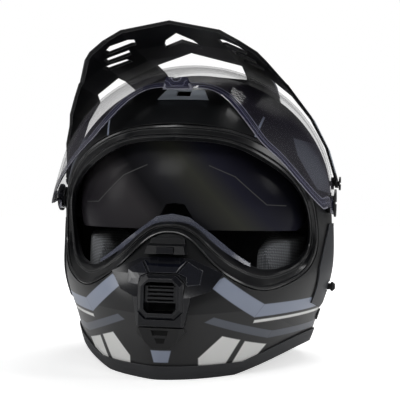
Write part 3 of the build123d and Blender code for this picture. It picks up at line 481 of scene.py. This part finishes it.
# Face shield. One clear injection moulding with a hard coat, swung up. A band painted along its lower
# edge shows the thickened clear bead end on: its blue and grey tint, and light lines that are painted
# highlights. The edge's line is in millimetres from the axle.
longest_edge, most_cuts = 0.004, 7
rim_angle, crease_angle = 0.7, 0.5
rim_reach, arm_start = 2.5, 0.02
bead_width, bead_share, bead_body = 12.5, 0.85, 0.62
shield_finish, tree, shader, alpha = clear_material("clear shield", (0.10, 0.09, 0.13), 0.05, 0.93, 0.30)
shield_edge = [
    (0, 97.6), (13.2, 97.2), (26.3, 95.9), (38.5, 90.1), (53.3, 75.7), (65.9, 60.4),
    (75.5, 48.8), (88.8, 36.4), (100.5, 23.1), (111.7, 9.8), (123.8, -4.2), (135.7, -13.2),
]
shield_copy = nodes["face_shield"].data.copy()
shield_copy.name = "shield_moulding"
work = bmesh.new()
work.from_mesh(shield_copy)
bmesh.ops.remove_doubles(work, verts=work.verts, dist=weld_distance)
for _ in range(most_cuts):
    long_edges = [e for e in work.edges if e.calc_length() > longest_edge]
    if not long_edges:
        break
    bmesh.ops.subdivide_edges(work, edges=long_edges, cuts=1)
    bmesh.ops.triangulate(work, faces=[f for f in work.faces if len(f.verts) > 3])
rim = work.verts.layers.float.new("rim")
edge_points = []
for edge in work.edges:
    if len(edge.link_faces) == 2 and edge.calc_face_angle(0) < rim_angle:
        continue
    for vertex in edge.verts:
        spot = Vector((abs(vertex.co.x), vertex.co.z - axle_place.z)) * 1000
        nearest = math.inf
        for first, second in zip(shield_edge, shield_edge[1:]):
            start, run = Vector(first), Vector(second) - Vector(first)
            share = max(0, min(1, (spot - start).dot(run) / run.length_squared))
            nearest = min(nearest, (start + run * share - spot).length)
        if nearest < rim_reach and vertex.co.y < arm_start:
            edge_points.append(vertex.co)
edge_search = KDTree(len(edge_points))
for number, point in enumerate(edge_points):
    edge_search.insert(point, number)
edge_search.balance()
for vertex in work.verts:
    vertex[rim] = edge_search.find(vertex.co)[2] * 1000
for face in work.faces:
    face.smooth = True
for edge in work.edges:
    edge.smooth = len(edge.link_faces) == 2 and edge.calc_face_angle(0) < crease_angle
work.to_mesh(shield_copy)
work.free()
shield_moulding = bpy.data.objects.new("shield_moulding", shield_copy)
bpy.context.scene.collection.objects.link(shield_moulding)
shield_copy.materials.clear()
shield_copy.materials.append(shield_finish)
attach(shield_moulding, "shield")
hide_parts("face_shield")
from_rim = tree.nodes.new("ShaderNodeAttribute")
from_rim.attribute_name = "rim"
bead_tint_and_highlights = tree.nodes.new("ShaderNodeValToRGB")
stops = bead_tint_and_highlights.color_ramp.elements
# Light stops, at the edge itself and two lines inside it, are painted highlights; the dark stops are the
# bead's tint.
stops[0].position, stops[0].color = 0.0, (0.42, 0.42, 0.50, 1)
stops[1].position, stops[1].color = 1.0, (0.10, 0.09, 0.13, 1)
for position, colour in (
    (0.10, (0.42, 0.42, 0.50, 1)),
    (0.14, (0.03, 0.03, 0.06, 1)),
    (0.34, (0.05, 0.05, 0.10, 1)),
    (0.40, (0.22, 0.22, 0.30, 1)),
    (0.46, (0.04, 0.04, 0.08, 1)),
    (0.70, (0.05, 0.05, 0.09, 1)),
    (0.76, (0.30, 0.30, 0.38, 1)),
    (0.82, (0.08, 0.08, 0.11, 1)),
):
    stops.new(position).color = colour
reach_share = calculate(tree, "MULTIPLY", from_rim.outputs["Fac"], 1 / bead_width)
tree.links.new(reach_share, bead_tint_and_highlights.inputs["Fac"])
tree.links.new(bead_tint_and_highlights.outputs["Color"], shader.inputs["Base Color"])
in_bead = calculate(tree, "LESS_THAN", from_rim.outputs["Fac"], bead_share * bead_width)
tree.links.new(calculate(tree, "MULTIPLY_ADD", in_bead, bead_body, alpha), shader.inputs["Alpha"])

# Shield pivots, visor pivots, peak standoffs and screws. Moulded black caps and pins. The caps have a
# slot for a coin, and hold the shield and the peak to the shell.
pivot_finish = finish_material("pivot plastic", (0.02, 0.02, 0.022), 0.35, grain=0.0001)[0]
for name in (
    "shield_pivot_left",
    "shield_pivot_right",
    "visor_pivot_left",
    "visor_pivot_right",
    "peak_standoff_left",
    "peak_standoff_right",
    "peak_side_screw_left",
    "peak_side_screw_right",
):
    dress(name, pivot_finish)

# Sun visor. A dark tinted moulding that hangs behind the eyeport from two side pivots. Broad soft
# bands of colour are painted across it as painted reflections, and a fine bent line crosses each side.
reflection_rise, reflection_scale, reflection_start = 0.9, 4.0, -0.18
line_grey, line_softness, visor_gloss = (0.09, 0.09, 0.09), 0.0002, 0.05
visor_finish, tree, shader, place = finish_material(
    "dark tint",
    (0.012, 0.013, 0.017),
    0.30,
    coat=0.05,
    coat_roughness=0.12,
    grain=0.00002,
    fineness=40,
    tone=0.1,
)
# The ramp paints broad diagonal bands into the base colour: painted reflections, a soft sheen across the
# lens.
split = tree.nodes.new("ShaderNodeSeparateXYZ")
tree.links.new(place, split.inputs[0])
reflection_sweep = calculate(tree, "MULTIPLY_ADD", split.outputs["Z"], reflection_rise, split.outputs["X"])
reflection_sweep = calculate(tree, "MULTIPLY_ADD", reflection_sweep, reflection_scale, reflection_start)
sheen = tree.nodes.new("ShaderNodeValToRGB")
stops = sheen.color_ramp.elements
stops[0].position, stops[0].color = 0.0, (0.020, 0.018, 0.022, 1)
stops[1].position, stops[1].color = 1.0, (0.006, 0.006, 0.009, 1)
for position, colour in (
    (0.20, (0.042, 0.039, 0.042, 1)),
    (0.29, (0.010, 0.010, 0.012, 1)),
    (0.38, (0.020, 0.020, 0.024, 1)),
    (0.50, (0.050, 0.051, 0.042, 1)),
    (0.60, (0.022, 0.022, 0.036, 1)),
    (0.74, (0.005, 0.005, 0.008, 1)),
):
    stops.new(position).color = colour
tree.links.new(reflection_sweep, sheen.inputs["Fac"])
painted = sheen.outputs["Color"]
side = calculate(tree, "ABSOLUTE", split.outputs["X"])
for corners in (
    [(27.5, 30.6), (50.0, 21.3), (49.9, 20.5), (27.4, 29.8)],
    [(50.0, 21.3), (76.5, -2.6), (76.2, -3.3), (49.6, 20.6)],
    [(76.2, -2.6), (92.0, -3.1), (92.0, -3.8), (76.2, -3.3)],
):
    line = masked_patch(tree, side, split.outputs["Z"], corners, line_softness)
    painted = mix_colour(tree, line, painted, line_grey)
tree.links.new(painted, shader.inputs["Base Color"])
shader.inputs["Specular IOR Level"].default_value = visor_gloss
dress("sun_visor", visor_finish)

# Side covers and the slider that draws the sun visor up. Satin dark grey mouldings. The covers clip to
# the shell, and the slider's stem comes out through a slot in the left one.
cover_finish = finish_material("cover plastic", (0.035, 0.037, 0.043), 0.42)[0]
slider_finish = finish_material("slider plastic", (0.015, 0.015, 0.017), 0.4)[0]
dress("side_cover_left", cover_finish)
dress("side_cover_right", cover_finish)
slider = bmesh.new()
low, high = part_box("visor_slider")
stem_root, lever_top = 0.1262, 0.1338
middle_y, middle_z = (low.y + high.y) / 2, (low.z + high.z) / 2
slider_steps = [
    (stem_root, 0.0044, 0.0030),
    (0.1296, 0.0044, 0.0030),
    (0.1297, 0.0058, 0.0042),
    (0.1318, 0.0058, 0.0044),
    (0.1322, 0.0050, 0.0036),
    (0.1332, 0.0046, 0.0030),
    (lever_top, 0.0040, 0.0024),
]
slider_sides, slider_squareness = 24, 0.45
rings = []
for x, along, tall in slider_steps:
    ring = []
    for step in range(slider_sides):
        angle = math.tau * step / slider_sides
        round_y = math.copysign(abs(math.cos(angle)) ** slider_squareness, math.cos(angle))
        round_z = math.copysign(abs(math.sin(angle)) ** slider_squareness, math.sin(angle))
        ring.append(slider.verts.new((x, middle_y + along * round_y, middle_z + tall * round_z)))
    rings.append(ring)
for first, second in zip(rings, rings[1:]):
    for step in range(slider_sides):
        after = (step + 1) % slider_sides
        slider.faces.new((first[step], first[after], second[after], second[step]))
slider.faces.new(list(reversed(rings[0])))
slider.faces.new(rings[-1])
bmesh.ops.recalc_face_normals(slider, faces=slider.faces)
slider_mesh = bpy.data.meshes.new("visor_lever")
slider.to_mesh(slider_mesh)
slider.free()
slider_mesh.materials.append(slider_finish)
slider_piece = bpy.data.objects.new("visor_lever", slider_mesh)
bpy.context.scene.collection.objects.link(slider_piece)
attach(slider_piece, "visor_lever")
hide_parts("visor_slider")

# Peak. A satin black moulding, screwed to the standoffs at its arms and resting on a seat on the crown.
# The outside of its arms is sprayed in grey bands.
outside_turn = 0.3
blue_grey = (0.36, 0.41, 0.48)
# Its edges take a strong edge mask: a thin light line, partly rubbed wear and partly painted highlight.
peak_finish, tree, shader, place = finish_material(
    "peak plastic",
    (0.0035, 0.0037, 0.0045),
    0.36,
    coat=0.1,
    coat_roughness=0.4,
    edge=0.0009,
    wear_and_highlight=0.9,
)
split = tree.nodes.new("ShaderNodeSeparateXYZ")
tree.links.new(place, split.inputs[0])
height = split.outputs["Z"]
facing_out = tree.nodes.new("ShaderNodeSeparateXYZ")
tree.links.new(tree.nodes.new("ShaderNodeTexCoord").outputs["Normal"], facing_out.inputs[0])
which_side = calculate(tree, "SIGN", split.outputs["X"])
outward = calculate(tree, "MULTIPLY", facing_out.outputs["X"], which_side)
outward = calculate(tree, "GREATER_THAN", outward, outside_turn)
painted = shader.inputs["Base Color"].links[0].from_socket
for low, high, colour in (
    (0.2535, 0.2660, slate),
    (0.2515, 0.2535, light_grey),
    (0.2400, 0.2515, slate),
    (0.1780, 0.2400, blue_grey),
):
    above = calculate(tree, "GREATER_THAN", height, low)
    below = calculate(tree, "LESS_THAN", height, high)
    band = calculate(tree, "MULTIPLY", above, below)
    mask = calculate(tree, "MULTIPLY", band, outward)
    painted = mix_colour(tree, mask, painted, colour)
tree.links.new(painted, shader.inputs["Base Color"])
dress("peak", peak_finish)
# The gloss vent plastic's edges are painted lighter by the edge mask: painted highlight and some rubbed
# wear.
gloss_finish = finish_material(
    "gloss vent plastic",
    (0.0045, 0.005, 0.008),
    0.24,
    coat=0.35,
    coat_roughness=0.08,
    grain=0.00005,
    wear_and_highlight=0.7,
)[0]
dress("peak_seat", gloss_finish)

# Chin vent, lower vent, latch, brow vent and rear vents. Gloss blue-black mouldings clipped on the shell.
# Three low plates with bevelled edges stand on the chin vent's housing, above and beside its ring.
for name in (
    "chin_vent_housing",
    "chin_vent_ring",
    "chin_vent_shutter",
    "latch_button",
    "rear_exhaust_left",
    "rear_exhaust_right",
):
    dress(name, gloss_finish)


def surface_of(name):
    """A search tree over one CAD node's faces."""
    work = bmesh.new()
    work.from_mesh(nodes[name].data)
    found = BVHTree.FromBMesh(work)
    work.free()
    return found


housing_surface, shell_surface = surface_of("chin_vent_housing"), surface_of("outer_shell")
housing_rise, housing_front, before_face = 0.0038, -0.158, -0.5


def chin_depth(x, z):
    """How far back the front of the chin vent's housing lies at a place seen from the front."""
    start, ahead = Vector((x, before_face, z)), Vector((0, 1, 0))
    found = housing_surface.ray_cast(start, ahead)[0]
    if found and found.y > housing_front:
        return found.y
    return shell_surface.ray_cast(start, ahead)[0].y - housing_rise


plate_step, plate_border, plate_sink = 0.004, 0.0009, 0.0002


def lay_facet(work, corners, rise, tilt):
    """A thin bevelled plate on the chin, its corners given as side and height in millimetres."""
    flat = [Vector((x / 1000, z / 1000 + axle_place.z)) for x, z in corners]
    middle = sum(flat, Vector((0, 0))) / len(flat)
    low_x, high_x = min(c.x for c in flat), max(c.x for c in flat)
    low_z, high_z = min(c.y for c in flat), max(c.y for c in flat)
    points = list(flat)
    across_count = max(2, int((high_x - low_x) / plate_step))
    up_count = max(2, int((high_z - low_z) / plate_step))
    for i in range(1, across_count):
        for j in range(1, up_count):
            x = low_x + (high_x - low_x) * i / across_count
            z = low_z + (high_z - low_z) * j / up_count
            points.append(Vector((x, z)))
    edges = [(i, (i + 1) % len(flat)) for i in range(len(flat))]
    result = delaunay_2d_cdt(points, edges, [list(range(len(flat)))], 1, 1e-7)
    made = []
    for point in result[0]:
        lift = rise + tilt * (point.y - middle.y)
        made.append(work.verts.new((point.x, chin_depth(point.x, point.y) - lift, point.y)))
    for face in result[2]:
        work.faces.new([made[i] for i in face])
    work.verts.index_update()
    rim = [e for e in work.edges if e.is_boundary and e.verts[0] in made and e.verts[1] in made]
    grown = bmesh.ops.extrude_edge_only(work, edges=rim)["geom"]
    for vertex in (g for g in grown if isinstance(g, bmesh.types.BMVert)):
        away = Vector((vertex.co.x, vertex.co.z)) - middle
        away = away.normalized() * plate_border
        vertex.co.x += away.x
        vertex.co.z += away.y
        vertex.co.y = chin_depth(vertex.co.x, vertex.co.z) + plate_sink


facets = bmesh.new()
wing = [(19.5, -51.8), (31.5, -58.8), (30, -69.5), (20.5, -70.2), (19.6, -63.5), (13.2, -60.6)]
other_wing = [(-x, z) for x, z in reversed(wing)]
hood = [(-18, -50.8), (18, -50.8), (11, -60.2), (-11, -60.2)]
for corners, rise, tilt in ((hood, 0.0014, -0.08), (wing, 0.0012, 0.03), (other_wing, 0.0012, 0.03)):
    lay_facet(facets, corners, rise, tilt)
bmesh.ops.recalc_face_normals(facets, faces=facets.faces)
facet_mesh = bpy.data.meshes.new("chin_vent_facets")
facets.to_mesh(facet_mesh)
facets.free()
# The plates' edges are painted lighter by a strong edge mask: painted highlight lines and some rubbed
# wear.
facet_finish = finish_material(
    "navy gloss plastic",
    (0.006, 0.007, 0.013),
    0.18,
    coat=0.8,
    coat_roughness=0.05,
    grain=0.00005,
    wear_and_highlight=0.9,
)[0]
facet_mesh.materials.append(facet_finish)
facet_piece = bpy.data.objects.new("chin_vent_facets", facet_mesh)
bpy.context.scene.collection.objects.link(facet_piece)
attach(facet_piece, "shell")
slot_shade_black = (0.001, 0.001, 0.001)
lower_finish, tree, shader, place = finish_material("lower vent plastic", charcoal, 0.45, wear_and_highlight=0.3)
split = tree.nodes.new("ShaderNodeSeparateXYZ")
tree.links.new(place, split.inputs[0])
side = calculate(tree, "ABSOLUTE", split.outputs["X"])
painted = shader.inputs["Base Color"].links[0].from_socket
# Two slots are painted near black on the lower vent: painted shade in their depth.
for corners in (
    [(-7.2, -106.9), (7.2, -106.9), (5.9, -111.2), (-5.9, -111.2)],
    [(-4.6, -113.5), (4.6, -113.5), (3.0, -117.9), (-3.0, -117.9)],
):
    slot_shade_mask = masked_patch(tree, side, split.outputs["Z"], corners)
    painted = mix_colour(tree, slot_shade_mask, painted, slot_shade_black)
tree.links.new(painted, shader.inputs["Base Color"])
dress("chin_lower_vent", lower_finish)
latch_finish = finish_material("latch plastic", (0.004, 0.0045, 0.006), 0.4)[0]
dress("latch_receiver", latch_finish)
brow_finish = finish_material("brow vent plastic", (0.58, 0.64, 0.72), 0.4, wear_and_highlight=0.2)[0]
dress("brow_vent", brow_finish)

# Chin strap and buckle. Woven black webbing with two rows of stitches on each face, riveted to the shell.
# The black moulded buckle has a red release lever.
strap_cloth = cloth_material("webbing", (0.012, 0.012, 0.013), (0.05, 0.05, 0.053), 260, 0.2, 0.0005)
thread_cloth = finish_material("strap thread", (0.09, 0.09, 0.1), 0.8, fineness=2500)[0]
strap_run = [
    (0.1144, 0.051),
    (0.1106, 0.039),
    (0.1046, 0.0295),
    (0.096, 0.022),
    (0.08, 0.0166),
    (0.0562, 0.0144),
]
long_end = [(0.02, 0.0140), (-0.0186, 0.0140)]
strap_front, strap_back = (corner.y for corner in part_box("chin_strap_left"))
strap_middle, strap_reach = (strap_front + strap_back) / 2, (strap_back - strap_front) / 2
strap_half, strap_sides, run_steps = 0.00085, 20, 10
edge_squareness, face_squareness = 0.25, 0.5
selvedge_share, selvedge_swell, row_share = 0.8, 1.12, 0.72
stitch_length, stitch_pitch, thread_radius = 3.2, 0.0032, 0.0003

stitch_group = bpy.data.node_groups.new("stitch rows", "GeometryNodeTree")
face_in = stitch_group.interface
face_in.new_socket("Geometry", in_out="INPUT", socket_type="NodeSocketGeometry")
length_id = face_in.new_socket("Stitch length", in_out="INPUT", socket_type="NodeSocketFloat").identifier
radius_id = face_in.new_socket("Thread radius", in_out="INPUT", socket_type="NodeSocketFloat").identifier
thread_id = face_in.new_socket("Thread", in_out="INPUT", socket_type="NodeSocketMaterial").identifier
face_in.new_socket("Geometry", in_out="OUTPUT", socket_type="NodeSocketGeometry")
group_in = stitch_group.nodes.new("NodeGroupInput")
group_out = stitch_group.nodes.new("NodeGroupOutput")
thread = stitch_group.nodes.new("GeometryNodeMeshUVSphere")
thread.inputs["Segments"].default_value = 8
thread.inputs["Rings"].default_value = 6
stretch = stitch_group.nodes.new("GeometryNodeTransform")
long_way = stitch_group.nodes.new("ShaderNodeCombineXYZ")
long_way.inputs["Y"].default_value = 1
long_way.inputs["Z"].default_value = 1
heading = stitch_group.nodes.new("GeometryNodeInputNamedAttribute")
heading.data_type = "FLOAT_VECTOR"
heading.inputs["Name"].default_value = "heading"
on_points = stitch_group.nodes.new("GeometryNodeInstanceOnPoints")
realize = stitch_group.nodes.new("GeometryNodeRealizeInstances")
set_thread = stitch_group.nodes.new("GeometryNodeSetMaterial")
for source, target in (
    (group_in.outputs["Thread radius"], thread.inputs["Radius"]),
    (group_in.outputs["Stitch length"], long_way.inputs["X"]),
    (thread.outputs["Mesh"], stretch.inputs["Geometry"]),
    (long_way.outputs["Vector"], stretch.inputs["Scale"]),
    (group_in.outputs["Geometry"], on_points.inputs["Points"]),
    (stretch.outputs["Geometry"], on_points.inputs["Instance"]),
    (heading.outputs["Attribute"], on_points.inputs["Rotation"]),
    (on_points.outputs["Instances"], realize.inputs["Geometry"]),
    (realize.outputs["Geometry"], set_thread.inputs["Geometry"]),
    (group_in.outputs["Thread"], set_thread.inputs["Material"]),
    (set_thread.outputs["Geometry"], group_out.inputs["Geometry"]),
):
    stitch_group.links.new(source, target)


def between(a, b, c, d, share):
    """A place on the smooth line from b to c, with its neighbours a and d."""
    slope = (c - a) * share
    bend = (2 * a - 5 * b + 4 * c - d) * share**2
    swing = (3 * b - a - 3 * c + d) * share**3
    return (2 * b + slope + bend + swing) / 2


def curved_run(points, steps):
    """Places along a smooth line through the points of a run."""
    padded = [points[0], *points, points[-1]]
    line = []
    for corners in zip(padded, padded[1:], padded[2:], padded[3:]):
        for step in range(steps):
            line.append(tuple(between(*values, step / steps) for values in zip(*corners)))
    return line + [points[-1]]


for node_name, name, run, mirror in (
    ("chin_strap_left", "left_webbing", strap_run, 1),
    ("chin_strap_right", "right_webbing", strap_run + long_end, -1),
):
    line = curved_run(run, run_steps)
    webbing = bmesh.new()
    rings, stitches, headings = [], [], []
    walked = 0.0
    for place_now, (x, z) in enumerate(line):
        before, after = line[max(0, place_now - 1)], line[min(len(line) - 1, place_now + 1)]
        along = Vector((after[0] - before[0], after[1] - before[1])).normalized()
        normal = Vector((-along.y, along.x))
        ring = []
        for step in range(strap_sides):
            angle = math.tau * step / strap_sides
            share = math.copysign(abs(math.cos(angle)) ** edge_squareness, math.cos(angle))
            thick = math.copysign(abs(math.sin(angle)) ** face_squareness, math.sin(angle)) * strap_half
            if abs(share) > selvedge_share:
                thick *= selvedge_swell
            y = strap_middle + share * strap_reach
            ring.append(webbing.verts.new((mirror * (x + normal.x * thick), y, z + normal.y * thick)))
        rings.append(ring)
        walked += math.dist(before, (x, z))
        if walked >= stitch_pitch / 2 and 0 < place_now < len(line) - 1:
            walked = 0.0
            for side in (-1, 1):
                for share in (row_share, -row_share):
                    y = strap_middle + share * strap_reach
                    lift = side * strap_half
                    stitches.append((mirror * (x + normal.x * lift), y, z + normal.y * lift))
                    headings.append((0, -math.atan2(along.y, mirror * along.x), 0))
    for first, second in zip(rings, rings[1:]):
        for step in range(strap_sides):
            after = (step + 1) % strap_sides
            webbing.faces.new((first[step], first[after], second[after], second[step]))
    webbing.faces.new(rings[0])
    webbing.faces.new(list(reversed(rings[-1])))
    bmesh.ops.recalc_face_normals(webbing, faces=webbing.faces)
    mesh = bpy.data.meshes.new(name)
    webbing.to_mesh(mesh)
    webbing.free()
    mesh.materials.append(strap_cloth)
    for polygon in mesh.polygons:
        polygon.use_smooth = True
    ribbon = bpy.data.objects.new(name, mesh)
    bpy.context.scene.collection.objects.link(ribbon)
    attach(ribbon, "shell")
    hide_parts(node_name)
    points = bpy.data.meshes.new(name + "_stitches")
    points.from_pydata(stitches, [], [])
    turns = points.attributes.new("heading", "FLOAT_VECTOR", "POINT")
    for place_now, turn in enumerate(headings):
        turns.data[place_now].vector = turn
    rows = bpy.data.objects.new(name + "_stitches", points)
    bpy.context.scene.collection.objects.link(rows)
    repeat = rows.modifiers.new("stitches", "NODES")
    repeat.node_group = stitch_group
    repeat[length_id] = stitch_length
    repeat[radius_id] = thread_radius
    repeat[thread_id] = thread_cloth
    depsgraph = bpy.context.evaluated_depsgraph_get()
    sewn = bpy.data.meshes.new_from_object(rows.evaluated_get(depsgraph))
    rows.modifiers.clear()
    rows.data = sewn
    sewn.name = name + "_stitches"
    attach(rows, "shell")
buckle_finish = finish_material("buckle plastic", (0.02, 0.02, 0.021), 0.45)[0]
lever_finish = finish_material("red lever plastic", (0.4, 0.03, 0.03), 0.35)[0]
dress("buckle_body", buckle_finish)
dress("buckle_tongue", buckle_finish)
dress("buckle_lever", lever_finish)
rivet_finish = finish_material("rivet paint", (0.02, 0.02, 0.022), 0.4, coat=0.3)[0]
dress("strap_rivet_left", rivet_finish)
dress("strap_rivet_right", rivet_finish)

# Floor, sky and studio lights. A pale floor that brightens away from the helmet until it meets the
# backdrop, and four soft cards round the helmet.
def flat_card(name, half_width, half_depth):
    """A rectangle that lies flat at the origin."""
    mesh = bpy.data.meshes.new(name)
    corners = [(-1, -1), (1, -1), (1, 1), (-1, 1)]
    mesh.from_pydata([(x * half_width, y * half_depth, 0) for x, y in corners], [], [(0, 1, 2, 3)])
    return mesh


floor_reach, near_floor, far_floor = 6.0, 0.25, 0.9
near_glow, far_glow = 0.62, 1.1
floor_mesh = flat_card("floor", floor_reach, floor_reach)
floor = bpy.data.objects.new("floor", floor_mesh)
bpy.context.scene.collection.objects.link(floor)
floor_finish = bpy.data.materials.new("pale floor")
floor_finish.use_nodes = True
tree = floor_finish.node_tree
floor_shader = tree.nodes["Principled BSDF"]
floor_shader.inputs["Base Color"].default_value = (0.9, 0.9, 0.9, 1)
floor_shader.inputs["Roughness"].default_value = 0.9
floor_shader.inputs["Specular IOR Level"].default_value = 0.1
floor_shader.inputs["Emission Color"].default_value = (1, 1, 1, 1)
floor_seen = tree.nodes.new("ShaderNodeLightPath").outputs["Is Camera Ray"]
from_middle = tree.nodes.new("ShaderNodeVectorMath")
from_middle.operation = "LENGTH"
tree.links.new(tree.nodes.new("ShaderNodeTexCoord").outputs["Object"], from_middle.inputs[0])
far = tree.nodes.new("ShaderNodeMapRange")
far.inputs["From Min"].default_value = near_floor
far.inputs["From Max"].default_value = far_floor
far.inputs["To Min"].default_value = near_glow
far.inputs["To Max"].default_value = far_glow
tree.links.new(from_middle.outputs["Value"], far.inputs["Value"])
floor_glow = calculate(tree, "MULTIPLY", floor_seen, far.outputs["Result"])
tree.links.new(floor_glow, floor_shader.inputs["Emission Strength"])
floor_mesh.materials.append(floor_finish)

world = bpy.data.worlds.new("studio")
bpy.context.scene.world = world
world.use_nodes = True
tree = world.node_tree
backdrop = tree.nodes["Background"]
sky_seen = tree.nodes.new("ShaderNodeLightPath").outputs["Is Camera Ray"]
sky_light, seen_extra = 0.12, 0.88
sky_strength = calculate(tree, "MULTIPLY_ADD", sky_seen, seen_extra, sky_light)
tree.links.new(sky_strength, backdrop.inputs["Strength"])
backdrop.inputs["Color"].default_value = (1, 1, 1, 1)


card_fade = 2.5
helmet_middle = Vector((0, 0, 0.15))


def soft_card(name, place, width, tall, strength):
    """A glowing card that fades to its borders, as a softbox does behind its cloth."""
    half, rise = width / 2, tall / 2
    mesh = flat_card(name, half, rise)
    card = bpy.data.objects.new(name, mesh)
    bpy.context.scene.collection.objects.link(card)
    card.location = place
    card.rotation_euler = (Vector(place) - helmet_middle).to_track_quat("Z", "Y").to_euler()
    material = bpy.data.materials.new(name)
    material.use_nodes = True
    tree = material.node_tree
    tree.nodes.clear()
    place_in_card = tree.nodes.new("ShaderNodeTexCoord").outputs["Object"]
    split = tree.nodes.new("ShaderNodeSeparateXYZ")
    tree.links.new(place_in_card, split.inputs[0])
    fades = []
    for socket, reach in ((split.outputs["X"], half), (split.outputs["Y"], rise)):
        share = calculate(tree, "DIVIDE", calculate(tree, "ABSOLUTE", socket), reach)
        fades.append(calculate(tree, "SUBTRACT", 1, calculate(tree, "POWER", share, card_fade)))
    glow = tree.nodes.new("ShaderNodeEmission")
    glow.inputs["Color"].default_value = (1, 1, 1, 1)
    faded = calculate(tree, "MULTIPLY", *fades)
    tree.links.new(calculate(tree, "MULTIPLY", faded, strength), glow.inputs["Strength"])
    output = tree.nodes.new("ShaderNodeOutputMaterial")
    tree.links.new(glow.outputs["Emission"], output.inputs["Surface"])
    mesh.materials.append(material)


soft_card("key card", (-0.55, -1.55, 1.15), 1.0, 0.7, 7.0)
soft_card("left card", (-1.5, -0.5, 0.5), 0.7, 1.1, 4.0)
soft_card("right card", (1.35, -0.15, 0.8), 0.6, 1.2, 5.0)
soft_card("top card", (0.15, 0.55, 1.3), 1.3, 0.8, 6.0)
